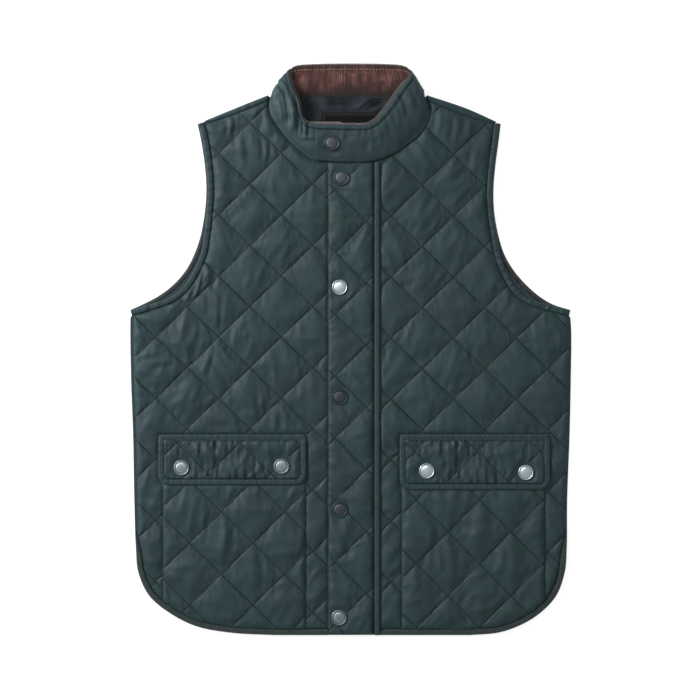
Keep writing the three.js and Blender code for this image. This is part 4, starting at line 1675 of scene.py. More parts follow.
RIGHT_CREASES = creased(
    (383, 430, 396, 446, 2.4, 1.5), (388, 444, 398, 454, 2.2, -1.4),
    (384, 462, 398, 452, 2.2, 1.4), (384, 342, 384, 372, 2.6, -0.9),
    (387, 400, 398, 411, 2.4, 1.0), (384, 548, 396, 552, 2.2, 1.0),
    (384, 512, 397, 518, 2.2, -0.9), (384, 585, 397, 580, 2.2, 1.0),
    (520, 420, 545, 442, 2.6, -0.9), (530, 408, 560, 415, 2.6, 0.9),
    (548, 300, 566, 296, 2.4, 0.9), (545, 312, 566, 310, 2.4, -0.9),
    (470, 150, 466, 172, 3.4, -0.9), (476, 150, 472, 174, 3.4, 0.8),
    (452, 118, 448, 140, 3.2, -1.0), (458, 118, 455, 140, 3.2, 0.8),
    (440, 110, 436, 134, 3.4, 0.8), (434, 112, 431, 134, 3.0, -0.9),
    (468, 346, 467, 360, 2.4, 1.0), (472, 346, 471, 360, 2.4, -1.0),
    (520, 378, 548, 388, 3.0, -0.9), (518, 374, 546, 383, 3.2, 0.8),
    (500, 346, 506, 366, 3.4, -0.7), (530, 345, 540, 352, 3.0, 0.7),
    (414, 350, 411, 362, 3.0, 0.7), (425, 378, 428, 402, 4.0, -0.7),
)


class VestFronts:
    """The two quilted fronts with their pockets, flaps and tapes."""

    def __init__(self, finishes: Finishes, flap_snaps: dict) -> None:
        """Keeps the materials, each front's own sizes, and its panels with the snaps' places on the flaps."""
        self.finishes = finishes
        self.sizes = {
            Side.LEFT: FrontSizes(LEFT_DIAMONDS, LEFT_CREASES, 2.0),
            Side.RIGHT: FrontSizes(Diamonds(50.7, 371.6, 78.2, 76.4), RIGHT_CREASES, 5.0),
        }
        self.pocket_diamonds = {
            Side.LEFT: Diamonds(-161.6, 154.6, 79.4, 78.0),
            Side.RIGHT: Diamonds(121.8, 129.5, 79.0, 80.0),
        }
        self.flap_diamonds = {
            Side.LEFT: Diamonds(-138.4, 240.6, 78.7, 76.6, cuts=34),
            Side.RIGHT: Diamonds(158.9, 230.0, 78.2, 76.4, cuts=34),
        }
        self.inside = LEVELS.binding_width + LEVELS.gap
        self.panels = {
            side: [self.front(side), self.pocket_panel(side), self.flap_panel(side, flap_snaps[side])]
            for side in Side
        }

    def pocket(self, side: Side) -> tuple[float, float, float]:
        """The pocket's left, right and top."""
        outer, inner, top = CUT.pocket_left if side is Side.LEFT else CUT.pocket_right
        return min(outer, inner), max(outer, inner), top

    def flap(self, side: Side) -> tuple[float, float, float, float]:
        """The flap's left, right, bottom and top."""
        return CUT.flap_left if side is Side.LEFT else CUT.flap_right

    def outline(self, side: Side) -> Array:
        """The front's ring inside its bindings."""
        sign = side.value
        middle = sign * CUT.fronts_meet
        edge = cloth_on_left(hem_path(side, middle), side)
        given_up = LEVELS.binding_width * (1 - narrowing(edge[:, 1], CUT.narrow_from))
        hem = moved_left(edge, self.inside - given_up)
        inset = CUT.inset_left if side is Side.LEFT else CUT.inset_right
        flank = moved_left(cloth_on_left(side_path(side), side), inset)
        flank = flank[(flank[:, 1] >= CUT.vent_top) & (flank[:, 1] < CUT.front_side_top)]
        arm = moved_left(cloth_on_left(armhole_path(side, Layer.FRONT), side), self.inside)
        shoulder = shoulder_path(side, CUT.shoulder_seam)
        shoulder = shoulder[np.abs(shoulder[:, 0]) < CUT.front_shoulder_end]
        seam = curve_through(np.array(CUT.neck_seam), 2.0)
        neck = seam[(seam[:, 0] - middle) * sign > 0]
        if side is Side.RIGHT:
            down = np.array([[middle, CUT.placket_top], [middle, self.inside]])
            sections = [hem, flank, arm, shoulder[::-1], neck[::-1], down]
        else:
            down = np.array([[middle, self.inside], [middle, CUT.placket_top]])
            sections = [hem, down, neck[::-1], shoulder, arm, flank]
        return joined(sections)

    def front(self, side: Side) -> QuiltedPanel:
        """The front's panel, pressed flat under the storm flap, the pocket and the pocket's flap."""
        sizes = self.sizes[side]
        left, right, top = self.pocket(side)
        low = self.flap(side)
        presses = [
            PressRectangle(CUT.placket_left, CUT.placket_edge, -20, CUT.placket_top, 4.0),
            PressRectangle(left, right, -20, top, 3.5),
            PressRectangle(*low, 3.5),
        ]
        arm = moved_left(cloth_on_left(armhole_path(side, Layer.FRONT, 4.0), side), self.inside)
        shoulder = shoulder_path(side, CUT.shoulder_seam, 4.0)
        neck = curve_through(np.array(CUT.neck_seam), 4.0)
        flap_top = np.array([[low[0], low[3]], [low[1], low[3]]])
        gathers = [
            Gather(arm, 1.6, 5.5, 16.0, sizes.seed + 30),
            Gather(shoulder, 1.5, 7.0, 22.0, sizes.seed + 40),
            Gather(neck, 1.3, 7.0, 18.0, sizes.seed + 50),
            Gather(flap_top, 1.3, 6.0, 18.0, sizes.seed + 60),
        ]
        return QuiltedPanel(
            f"front_quilt_{side.hand}", f"front_{side.hand}", self.outline(side), sizes.diamonds,
            LEVELS.front, LEVELS.front_puff, presses, sizes.creases, gathers, seed=sizes.seed,
        )

    def pocket_ring(self, side: Side) -> Array:
        """The pocket's ring: its sides and top, and below the hem's own curve."""
        left, right, top = self.pocket(side)
        hem = moved_left(cloth_on_left(hem_path(side, 0.0), side), self.inside)
        hem = hem[np.argsort(hem[:, 0])]
        hem = hem[hem[:, 1] < 120]
        x = np.linspace(left, right, 90)
        low = np.stack([x, np.interp(x, hem[:, 0], hem[:, 1])], axis=1)
        up = np.array([[right, low[-1, 1]], [right, top]])
        back = np.array([[right, top], [left, top]])
        down = np.array([[left, top], [left, low[0, 1]]])
        return joined([low, up, back, down])

    def pocket_panel(self, side: Side) -> QuiltedPanel:
        """The patch pocket, pressed flat under its flap."""
        flap = self.flap(side)
        presses = [PressRectangle(flap[0], flap[1], flap[2], flap[3] + 30, 4.0)]
        flap_low = np.array([[flap[0], flap[2]], [flap[1], flap[2]]])
        gathers = [Gather(flap_low, 1.1, 6.5, 20.0, 77.0 + side.value)]
        return QuiltedPanel(
            f"pocket_quilt_{side.hand}", f"pocket_{side.hand}", self.pocket_ring(side),
            self.pocket_diamonds[side], LEVELS.on_front, LEVELS.trim_puff, presses,
            POCKET_CREASES[side], gathers, edge_roll=5.0, pleats=0.5, seed=9.0 + side.value,
        )

    def flap_panel(self, side: Side, snaps: list) -> QuiltedPanel:
        """The flap inside its binding, pressed down under its snaps."""
        left, right, low, high = self.flap(side)
        edge = self.inside - 1.1
        ring = rounded_rectangle(left + edge, right - edge, low + edge, high - edge, 7.0, 2.0)
        presses = [PressRound(x, y) for x, y in snaps]
        along_top = np.array([[left, high - edge], [right, high - edge]])
        along_low = np.array([[left, low + edge], [right, low + edge]])
        gathers = [Gather(along_top, 4.2, 3.8, 30.0, 81.0), Gather(along_low, 2.8, 3.8, 16.0, 83.0)]
        return QuiltedPanel(
            f"flap_quilt_{side.hand}", f"flap_{side.hand}", ring, self.flap_diamonds[side],
            LEVELS.on_pocket, LEVELS.trim_puff * 0.8, presses, [], gathers,
            edge_roll=4.0, pleats=0.45, seed=13.0 + side.value, seam_tone=0.45, crossing=0.2,
        )

    def build(self, book: StitchBook) -> list[bpy.types.Object]:
        """Makes both fronts with everything on them.

        Args:
            book: Where the stitches are noted.

        Returns:
            The objects.
        """
        made = []
        for side in Side:
            rests = [("back_quilt",), (f"front_quilt_{side.hand}",), (f"pocket_quilt_{side.hand}",)]
            for panel, under in zip(self.panels[side], rests):
                made.append(panel.build(self.finishes, rests_on=under))
                panel.quilting(book)
            left, right, low, high = self.flap(side)
            front, _, flap = self.panels[side]
            front.topstitch(book, (left - 1.0, high + 1.0), (right + 1.0, high + 1.0), lift=0.35, pitch=2.6)
            band = self.inside + 0.6
            for y in (low + band, high - band):
                flap.topstitch(book, (left + 12.0, y), (right - 12.0, y), lift=0.5, pitch=2.9)
            if side is Side.LEFT:
                beside = CUT.placket_left - 2.8
                top = CUT.placket_top - 6
                front.topstitch(book, (beside, 12.0), (beside, top), lift=0.2, pitch=3.0, count=150)
            made += self.tapes(side)
        return made

    def tapes(self, side: Side) -> list[bpy.types.Object]:
        """The tapes of the armhole, the hem and the flap."""
        floor = level_floor(LEVELS.front)
        armhole = past_underarm(cloth_on_left(armhole_path(side, Layer.FRONT), side), 1.8)
        start = CUT.placket_left - LEVELS.gap if side is Side.LEFT else CUT.placket_edge + LEVELS.gap
        hem = cloth_on_left(hem_path(side, start, beyond=2.0), side)
        left, right, low, high = self.flap(side)
        flap_ring = rounded_rectangle(left, right, low, high, CUT.flap_corner + 3.0, 5.0)
        top = self.pocket(side)[2]

        def flap_floor(x: Array, y: Array) -> Array:
            """The flap's tape steps down from the pocket to the front above the pocket's top."""
            return LEVELS.on_pocket + (LEVELS.on_front - LEVELS.on_pocket) * eased((y - top - 1) / 3) + 0 * x

        tapes = [
            Binding(f"armhole_tape_front_{side.hand}", f"armhole_binding_front_{side.hand}", armhole,
                    floor, gathered=0.24, pitch=0.7, seed=5.0 + side.value),
            Binding(f"hem_tape_front_{side.hand}", f"hem_binding_front_{side.hand}", hem,
                    floor, seed=7.0 + side.value, narrows=CUT.narrow_from),
            Binding(f"flap_tape_{side.hand}", f"flap_binding_{side.hand}", flap_ring, flap_floor, rise=2.7,
                    width=7.9, closed=True, gathered=0.11, pitch=0.5, seed=9.0 + side.value),
        ]
        cloths = [self.finishes.nylon, self.finishes.tape, self.finishes.nylon]
        return [tape.build(cloth) for tape, cloth in zip(tapes, cloths)]


class StormFlap:
    """The quilted storm flap over the closing, with its bound edge."""

    def __init__(self, finishes: Finishes, snaps: list) -> None:
        """Keeps the materials and the places of its snaps."""
        self.finishes = finishes
        self.snaps = snaps
        self.diamonds = Diamonds(-19.3, 401.5, 78.0, 77.5, cuts=26)
        self.panel = self.quilted()

    def quilted(self) -> QuiltedPanel:
        """The storm flap's panel, held down by its snaps."""
        left, right, low, high = CUT.placket_left, CUT.placket_right, CUT.placket_bottom, CUT.placket_top
        corners = np.array([[left, low], [right, low], [right, high], [left, high]])
        ring = joined([np.stack(pair) for pair in zip(corners, np.roll(corners, -1, axis=0))])
        right_seam, left_seam = (np.array([[x, 0.0], [x, high]]) for x in (right, left))
        gathers = [Gather(right_seam, 1.6, 6.0, 12.0, 91.0), Gather(left_seam, 1.9, 6.0, 14.0, 93.0)]
        creases = creased(
            (352, 592, 361, 606, 3.0, 1.0), (348, 596, 356, 609, 3.0, -1.0),
            (334, 193, 358, 195, 2.4, -1.2), (332, 205, 352, 208, 2.4, 1.0),
            (344, 219, 359, 222, 2.4, -1.1), (336, 255, 350, 252, 2.4, 0.9),
            (331, 330, 349, 334, 2.6, -1.0), (352, 436, 371, 431, 2.6, 1.0),
            (333, 470, 351, 472, 2.4, -0.9), (350, 548, 368, 541, 2.6, 1.0),
        )
        return QuiltedPanel(
            "storm_flap_quilt", "placket", ring, self.diamonds, LEVELS.on_front, LEVELS.trim_puff,
            [PressRound(x, y) for x, y in self.snaps], creases, gathers,
            edge_roll=4.5, pleats=0.45, seed=17.0, outline_tone=0.1,
        )

    def build(self, book: StitchBook) -> list[bpy.types.Object]:
        """Makes the flap and its edge strip.

        Args:
            book: Where the stitches are noted.

        Returns:
            The objects.
        """
        flap = self.panel.build(self.finishes, rests_on=("front_quilt_left", "front_quilt_right"))
        self.panel.quilting(book)
        beside = CUT.placket_right - 2.2
        top = CUT.placket_top - 3
        self.panel.topstitch(book, (beside, 3.5), (beside, top), lift=0.25, pitch=4.0, count=150)
        edge = np.array([[CUT.placket_edge, CUT.placket_bottom], [CUT.placket_edge, CUT.placket_top]])
        strip = Binding(
            "storm_flap_edge", "placket_binding", evenly(edge, 2.0), level_floor(LEVELS.on_front),
            gathered=0.06, seed=19.0,
        ).build(self.finishes.nylon, "shell")
        return [flap, strip]


@dataclass
class StandCollar:
    """The stand collar: its nylon shell and corduroy facing, from under the tab round to the tab's end."""

    finishes: Finishes
    wall: float = 2.5
    facing: float = 1.2
    bulge: float = 1.6
    wale_pitch: float = 3.0
    wale_height: float = 0.55
    # The topstitched rows as shares of the way from seam to top, and the row number where the tab starts
    shell_row: float = 0.86
    facing_row: float = 0.84
    tab_from: float = 19.0
    # Seam x, y, z and top x, y, z of the line between shell and facing
    rows: tuple = (
        (-12, 595, 8.8, -12, 640, 14.5), (-44.3, 596.4, 8.8, -43.4, 640, 15),
        (-61.9, 607.5, 9, -54.5, 641.5, 16), (-75.9, 620.6, 9.2, -59.5, 649, 17),
        (-85.9, 633.1, 9.4, -61.8, 659, 17.5), (-95.3, 646.9, 9.4, -65.2, 671.4, 17),
        (-99.5, 659.4, 9.2, -70.3, 683, 15.5), (-99.3, 669.4, 8.8, -74.4, 696.5, 13),
        (-98.3, 675, 6, -75.5, 707.5, 8), (-89, 673, 3.4, -69, 711.8, 3.6),
        (-60, 672.2, 2.9, -50, 713.6, 2.9), (-1, 672, 2.9, -1, 714.4, 2.9),
        (56, 672.2, 2.9, 49, 713.6, 2.9), (81, 673, 3.4, 66, 711.8, 3.6),
        (90.5, 674.5, 6, 73.5, 707, 8), (93.5, 668.1, 9, 71.5, 696.5, 13.5),
        (96.6, 657, 9.6, 63.5, 688, 16), (93, 643, 10, 55.9, 677.5, 18.5),
        (84, 629, 10.4, 47, 664.4, 19.5), (67.8, 615.6, 11, 38.4, 653.1, 20),
        (52, 606, 11.8, 30.6, 644.6, 20.5), (28.9, 597, 12.4, 20, 638.4, 20.5),
        (-1, 595, 12.9, -1, 637.9, 20.5), (-44, 597.5, 12.9, -42.8, 638.7, 20.5),
    )
    creases: tuple = tuple(creased(
        (277, 81, 287, 98, 1.5, -2.6), (280, 80, 290, 97, 2.0, 1.4),
        (295, 96, 299, 134, 1.7, -3.2), (291, 98, 294, 130, 2.2, 2.0),
        (302, 106, 305, 138, 2.0, 2.0), (306, 114, 309, 138, 1.6, -2.0),
        (285, 92, 289, 126, 1.7, -1.9), (279, 100, 283, 124, 2.4, 1.4),
        (276, 112, 280, 128, 1.6, -1.2), (298, 116, 303, 136, 1.4, -1.6),
        (303, 141, 316, 142, 2.0, -1.0), (300, 138, 315, 138.5, 2.0, 0.9),
        (398, 94, 405, 120, 2.6, -1.3), (392, 102, 398, 128, 2.6, 0.9),
        (408, 90, 413, 112, 2.6, 0.8), (384, 116, 389, 138, 2.6, -0.9),
        (376, 124, 380, 146, 2.6, 0.7), (344, 139, 362, 137, 2.2, -0.5),
    ))
    snap: tuple = (-23.4, 614.4)

    def frame_at(self, at: Array) -> tuple[Array, Array, Array]:
        """The seam points, top points and outward directions at places round the collar.

        Outward is at right angles to the way round the collar and to the rise from seam to top.

        Args:
            at: Places round the collar as row numbers with fractions.

        Returns:
            Seam points, top points and unit vectors.
        """
        table = np.array(self.rows, dtype=float)
        seam, top = flowing(table[:, :3], at), flowing(table[:, 3:], at)
        last = len(table) - 1
        ahead, behind = np.minimum(at + 0.25, last), np.maximum(at - 0.25, 0)
        middle_ahead = (flowing(table[:, :3], ahead) + flowing(table[:, 3:], ahead)) / 2
        middle_behind = (flowing(table[:, :3], behind) + flowing(table[:, 3:], behind)) / 2
        out = np.cross(top - seam, middle_ahead - middle_behind)
        return seam, top, out / np.linalg.norm(out, axis=1)[:, None]

    def stations(self, spacing: float) -> tuple[Array, Array]:
        """Even steps round the collar: their row numbers, and their lengths from the start."""
        dense = np.linspace(0, len(self.rows) - 1, 1200)
        seam, top, _ = self.frame_at(dense)
        lengths = travelled((seam + top) / 2)
        wanted = np.linspace(0, lengths[-1], int(lengths[-1] / spacing))
        return np.interp(wanted, lengths, dense), wanted

    def surface(self, at: Array, up: Array, distance: Array) -> Array:
        """Points of the collar: between seam and top, moved outward by a distance, bulge and creases.

        Args:
            at: Places round the collar.
            up: Shares of the way from the seam to the top, the same at every place or for each.
            distance: How far outward, for each place and share.

        Returns:
            The points, as places by shares by 3.
        """
        seam, top, out = self.frame_at(at)
        up = np.broadcast_to(up, distance.shape)
        base = seam[:, None, :] + (top - seam)[:, None, :] * up[..., None]
        facing_up = np.clip(out[:, 2], 0, 1)
        bulge = self.bulge * facing_up[:, None] * np.sin(np.clip(up, 0, 1) * np.pi)
        folds = np.zeros(base.shape[:2])
        for crease in self.creases:
            folds += crease.rise(base[..., 0], base[..., 1])
        spot = np.hypot(base[..., 0] - self.snap[0], base[..., 1] - self.snap[1])
        on_tab = (at > self.tab_from)[:, None]
        dent = np.where(on_tab, 1.3 * (1 - eased((spot - 10) / 8)), 0)
        shift = distance + bulge + folds * facing_up[:, None] - dent * facing_up[:, None]
        return base + out[:, None, :] * shift[..., None]

    def build(self, book: StitchBook, tan_book: StitchBook) -> list[bpy.types.Object]:
        """Makes the shell and the facing and notes their stitches.

        Args:
            book: Where dark stitches are noted.
            tan_book: Where the tan topstitch is noted.

        Returns:
            The objects.
        """
        shell = self.shell()
        facing = self.corduroy()
        at, _ = self.stations(4.0)
        inset = self.surface(at, np.array([self.shell_row]), np.full((len(at), 1), self.wall + 0.35))[:, 0, :]
        inset[:, 2] = np.maximum(inset[:, 2], 5 * LEVELS.off_floor)
        book.along(inset)
        back = at[(at > 6.5) & (at < 17)]
        behind = np.full((len(back), 1), -self.facing - 2.9)
        row = self.surface(back, np.array([self.facing_row]), behind)[:, 0, :]
        tan_book.along(row, 4.1)
        tab_end = self.surface(
            np.array([len(self.rows) - 1.12]), np.linspace(0.04, 0.84, 10), np.full((1, 10), self.wall + 0.3)
        )[0]
        book.along(tab_end)
        return [shell, facing]

    def shell(self) -> bpy.types.Object:
        """The nylon band: rounded at its top and bottom edges like a flattened tube."""
        at, lengths = self.stations(1.4)
        up = np.concatenate([np.linspace(0, 1, 30), np.linspace(1, 0, 30)[1:-1]])
        outer = np.arange(len(up)) < 30
        thick = self.wall * (1 - np.abs(2 * up - 1) ** 7) ** (1 / 2.4)
        puff = 0.5 * np.abs(np.sin(np.pi * np.clip(up / self.shell_row, 0, 1))) ** 0.5
        off_row = np.abs(up - self.shell_row)
        at_row, at_seam = np.exp(-off_row / 0.08)[None, :], np.exp(-up / 0.16)[None, :]
        waves = rumple(lengths / 7.0, 0 * lengths, 31.0)[:, None] * at_row * 0.4
        waves = waves + rumple(lengths / 8.0, 0 * lengths + 4, 33.0)[:, None] * at_seam * 0.6
        groove = -1.0 * np.exp(-((off_row / 0.03) ** 2))
        inside = np.sin(np.pi * up)[None, :] ** 0.6
        waves = waves + 0.5 * rumple(lengths[:, None] / 12.0, up[None, :] * 1.7, 35.0) * inside
        crest = np.abs(rumple(lengths[:, None] / 9.0 + up[None, :] * 1.1, up[None, :] * 2.3, 61.0))
        cross = np.abs(rumple(lengths[:, None] / 21.0, up[None, :] * 4.2 + lengths[:, None] / 40.0, 63.0))
        waves = waves + (0.75 * (1.0 - 2.0 * crest) + 0.5 * (1.0 - 2.0 * cross)) * inside
        on_tab = eased((at - self.tab_from) / 0.8)[:, None]
        sewn_in = on_tab + (1 - on_tab) * (0.12 + 0.88 * eased(up / 0.3))[None, :]
        facing_up = np.clip(self.frame_at(at)[2][:, 2:3] * 3, 0, 1)
        depth = (thick + (puff + waves * (thick > 1)) * facing_up + groove) * sewn_in
        distance = LEVELS.gap / 2 + np.where(outer[None, :], depth, 0.0)
        distance = np.maximum(distance, LEVELS.gap / 2)
        tucked = (0.09 + 0.02 * on_tab) * facing_up
        rings = self.surface(at, (up * 0.985) * (1 + tucked) - tucked, distance)
        rings[..., 2] = np.maximum(rings[..., 2], LEVELS.off_floor)
        points, faces = skinned(rings)
        # Painted shade: darker down in the topstitched row's groove, and darker round from the right side to
        # the tab, which turns away from the light
        seam = np.where(outer, eased(off_row / 0.045) * 0.75 + 0.25, 0.5)
        painted_shade_away = 1 - 0.5 * eased((at - 11.0) / 4.0)
        notes = {"seam": (painted_shade_away[:, None] * seam[None, :]).ravel(), "tint": np.full(len(points), 0.35)}
        piece = new_piece("collar_shell", points, faces, self.finishes.collar_nylon, notes)
        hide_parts("collar")
        return piece

    def corduroy(self) -> bpy.types.Object:
        """The corduroy band: wales as rounded ridges that run from the seam to the top."""
        at, lengths = self.stations(0.6)
        up = np.concatenate([np.linspace(0, 1.03, 22), np.linspace(1.03, 0, 8)[1:-1]])
        shown = np.arange(len(up)) < 22
        phase = lengths / self.wale_pitch + 0.35 * rumple(lengths / 9.0, 0 * lengths, 47.0)
        wale = np.abs(np.cos(np.pi * phase)) ** 0.8
        ends = np.clip((1.03 - up) / 0.03, 0, 1)
        thick = self.facing * np.sqrt(1 - (1 - ends) ** 2)
        roll = 0.7 * np.exp(-(((up - 0.95) / 0.06) ** 2))
        groove = -0.5 * np.exp(-(((up - self.facing_row) / 0.02) ** 2))
        folds = 1.3 + 1.5 * rumple(lengths[:, None] / 17.0, up[None, :] * 1.8, 45.0) * np.ones((1, len(up)))
        folds = folds * np.sin(np.pi * np.clip(up, 0, 1))[None, :] ** 0.7
        depth = thick + np.where(shown, roll + groove, 0)
        depth = depth + folds + self.wale_height * wale[:, None]
        distance = -LEVELS.gap / 2 - np.where(shown[None, :], depth, 0.0)
        rings = self.surface(at, up, distance)
        rings[..., 2] = np.maximum(rings[..., 2], LEVELS.off_floor)
        points, faces = skinned(rings)
        # Painted shade: the facing darkens near the seam at its bottom and over its rolled top edge, and the
        # wale profile adds painted shade between the wales
        shade = (0.04 + 0.96 * eased((up - 0.08) / 0.42)) * (1 - 0.62 * eased((up - 0.86) / 0.06))
        uneven = 0.8 + 0.35 * rumple(lengths[:, None] / 13.0, up[None, :] * 2.0, 49.0)
        uneven = uneven + 0.55 * rumple(lengths[:, None] / 2.4, up[None, :] * 1.4, 51.0)
        notes = {"wale": np.clip((0.25 + 0.75 * wale[:, None]) * shade[None, :] * uneven, 0, 1).ravel()}
        piece = new_piece("collar_corduroy", points, faces, self.finishes.corduroy, notes)
        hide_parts("collar_facing")
        return piece


@dataclass
class NeckInside:
    """What shows in the neck opening: the lining and its bare label."""

    finishes: Finishes
    half_width: float = 88.0
    depth: float = 84.0
    top: float = 674.0
    middle: float = -0.5
    level: float = LEVELS.front
    wall: float = 0.9
    label: tuple = (-36.0, 35.0, 612.0, 654.0)
    label_wall: float = 0.7
    creases: tuple = tuple(creased(
        (356, 110, 372, 99, 2.4, 1.6), (364, 112, 384, 101, 2.2, -1.5),
        (374, 111, 396, 106, 2.2, 1.5), (300, 101, 318, 109, 2.6, 1.0),
        (322, 100, 345, 103, 2.4, 0.9), (330, 106, 352, 108, 2.2, -0.9),
        (384, 118, 398, 104, 2.4, 1.2),
    ))

    def lining_height(self, x: Array, y: Array) -> Array:
        """The lining's soft folds: broad waves that fan out from the neck."""
        folds = 1.7 * rumple(x / 19 + y / 45, y / 22, 41.0) + 0.6 * rumple(x / 9, y / 18, 43.0)
        for crease in self.creases:
            folds = folds + crease.rise(x, y)
        left, right, low, high = self.label
        beside = np.maximum(np.maximum(left - x, x - right), np.maximum(low - y, y - high))
        return self.level + self.wall + (1.4 + 1.3 * folds) * eased((beside + 0.5) / 6.0)

    def build(self) -> list[bpy.types.Object]:
        """Makes the lining and the label.

        Returns:
            The objects.
        """
        return [self.lining(), self.tag()]

    def lining(self) -> bpy.types.Object:
        """A half-moon: rows of points across it, each as wide as the half-moon there."""
        share = np.linspace(0.0, 0.995, 60)
        across = np.linspace(-1, 1, 90)
        half = self.half_width * np.sqrt(1 - share**2)
        x = self.middle + half[:, None] * across[None, :]
        y = np.broadcast_to((self.top - self.depth * share)[:, None], x.shape)
        edge = np.minimum(1, 12 * (1 - np.abs(across)))[None, :] * np.minimum(1, 12 * (1 - share))[:, None]
        z = self.level + self.wall * 0.5 + (self.lining_height(x, y) - self.level - self.wall * 0.5) * edge
        names = ("neck_lining_cloth", "neck_lining", "lining")
        return self.slab(names, x, y, z, self.level, self.finishes.lining, {})

    def tag(self) -> bpy.types.Object:
        """The label: a small satin rectangle with a plain woven border, lying on the folds."""
        left, right, low, high = self.label
        x, y = np.meshgrid(np.linspace(left, right, 72), np.linspace(high, low, 44))
        inset = np.minimum(np.minimum(x - left, right - x), np.minimum(y - low, high - y))
        z = self.level + self.wall + LEVELS.gap + self.label_wall + 0.35 * rumple(x / 16, y / 12, 57.0)
        z = z - 0.5 * (1 - eased(inset / 1.2))
        border = ((inset > 1.8) & (inset < 3.2)).astype(float).ravel()
        notes = {"border": np.concatenate([border, 0 * border])}
        floor = self.level + self.wall + LEVELS.gap
        names = ("neck_label_cloth", "neck_label", "label")
        return self.slab(names, x, y, z, floor, self.finishes.label, notes)

    def slab(
        self, names: tuple[str, str, str], x: Array, y: Array, z: Array, floor: float,
        material: bpy.types.Material, notes: dict,
    ) -> bpy.types.Object:
        """A closed slab from a grid of tops over a level floor.

        Args:
            names: The piece, the node that it replaces, and the material slot of the record.
            x: The grid's places across.
            y: The grid's places up from the hem.
            z: The grid's heights.
            floor: The level of its underside.
            material: Its finish.
            notes: Numbers for the material.

        Returns:
            The object.
        """
        name, node, slot = names
        rows, columns = x.shape
        top = np.stack([x, y, np.maximum(z, floor + 0.1)], axis=-1).reshape(-1, 3)
        under = np.stack([x, y, np.full(x.shape, floor)], axis=-1).reshape(-1, 3)
        number = np.arange(rows * columns).reshape(rows, columns)
        corners = [number[:-1, :-1], number[1:, :-1], number[1:, 1:], number[:-1, 1:]]
        net = np.stack(corners, axis=-1).reshape(-1, 4)
        rim = np.concatenate([number[0, :-1], number[:-1, -1], number[-1, :0:-1], number[:0:-1, 0]])
        ahead = np.roll(rim, -1)
        count = rows * columns
        wall = np.stack([rim, ahead, ahead + count, rim + count], axis=1)
        faces = net.tolist() + wall.tolist() + (net[:, ::-1] + count).tolist()
        points = np.vstack([top, under])
        piece = new_piece(name, points, outward(points, faces), material, notes, crease_angle=50)
        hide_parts(node)
        width, length = float(np.ptp(x)) * MM, float(np.ptp(y)) * MM
        cells = np.abs(np.diff(x, axis=1))[:-1] * np.abs(np.diff(y, axis=0))[:, :-1]
        area = float(cells.sum()) * MM * MM
        area = min(area, width * length)
        return piece


@dataclass(frozen=True)
class Snap:
    """A snap's cap: a dome in a sunk ring of dots inside a rolled rim."""

    node: str
    x: float
    y: float
    seat: float
    # How bright the cap's plating is set: rubbed plating, and a painted reflection that differs from cap to
    # cap
    rubbed: float = 0.35
    radius: float = 9.4
    rise: float = 3.0
    dots: int = 20
    sides: int = 56
    # The circle of dots as a share of the radius, their seat as a share of the rise, and a dot's sides
    dot_circle: float = 0.815
    dot_seat: float = 0.58
    dot_sides: int = 6

    def build(self, material: bpy.types.Material) -> bpy.types.Object:
        """Makes the cap by turning its profile, and sets the dots in its ring.

        Args:
            material: The metal.

        Returns:
            The object.
        """
        # Each ring's share of the radius, its share of the rise, and how far it is rubbed bright
        profile = np.array([
            (0.93, 0.0, 0.0), (1.0, 0.1, 0.1), (1.02, 0.3, 0.4), (1.0, 0.5, 0.8), (0.97, 0.62, 1.0),
            (0.94, 0.66, 1.0), (0.915, 0.63, 0.7), (0.9, 0.58, 0.55), (0.73, 0.58, 0.6), (0.7, 0.61, 0.85),
            (0.66, 0.67, 1.0), (0.58, 0.73, 1.0), (0.45, 0.79, 0.9), (0.3, 0.83, 0.85), (0.15, 0.85, 0.8),
            (0.012, 0.86, 0.8),
        ])
        out, up, bright = profile.T
        angles = np.arange(self.sides) / self.sides * TURN
        ring_x = out[:, None] * self.radius * np.cos(angles)[None, :]
        ring_y = out[:, None] * self.radius * np.sin(angles)[None, :]
        ring_z = np.repeat((up * self.rise)[:, None], self.sides, axis=1)
        rings = np.stack([ring_x + self.x, ring_y + self.y, ring_z + self.seat], axis=-1)
        points, faces = skinned(rings)
        # The profile's rubbed plating, scaled by each cap's brightness, which is partly a painted reflection
        shine = np.repeat(bright, self.sides) * self.rubbed
        dots, dot_faces, dot_shine = self.ring_of_dots(len(points))
        points = np.vstack([points, dots])
        notes = {"rubbed": np.concatenate([shine, dot_shine])}
        piece = new_piece(f"cap_{self.node[5:]}", points, faces + dot_faces, material, notes, crease_angle=75)
        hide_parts(self.node)
        return piece

    def ring_of_dots(self, first: int) -> tuple[Array, list, Array]:
        """Small closed beads round the sunk ring, in place of any lettering.

        Args:
            first: The number of the first bead's first point.

        Returns:
            The points, the faces and how rubbed each point is.
        """
        angles = np.arange(self.dots) / self.dots * TURN
        turns = np.arange(self.dot_sides) / self.dot_sides * TURN
        sizes, lifts = np.array([0.62, 0.58, 0.3]), np.array([-0.12, 0.16, 0.3])
        centres = np.stack([np.cos(angles), np.sin(angles)], axis=1) * self.radius * self.dot_circle
        bead = np.stack([sizes[:, None] * np.cos(turns), sizes[:, None] * np.sin(turns),
                         np.repeat(lifts[:, None], self.dot_sides, axis=1)], axis=-1)
        level = np.full(self.dots, self.seat + self.dot_seat * self.rise)
        base = np.column_stack([centres + np.array([self.x, self.y]), level])
        bead_points, one = skinned(bead)
        points = (base[:, None, :] + bead_points[None]).reshape(-1, 3)
        starts = first + len(bead_points) * np.arange(self.dots)
        faces = [[corner + int(start) for corner in face] for start in starts for face in one]
        return points, faces, np.zeros(len(points))


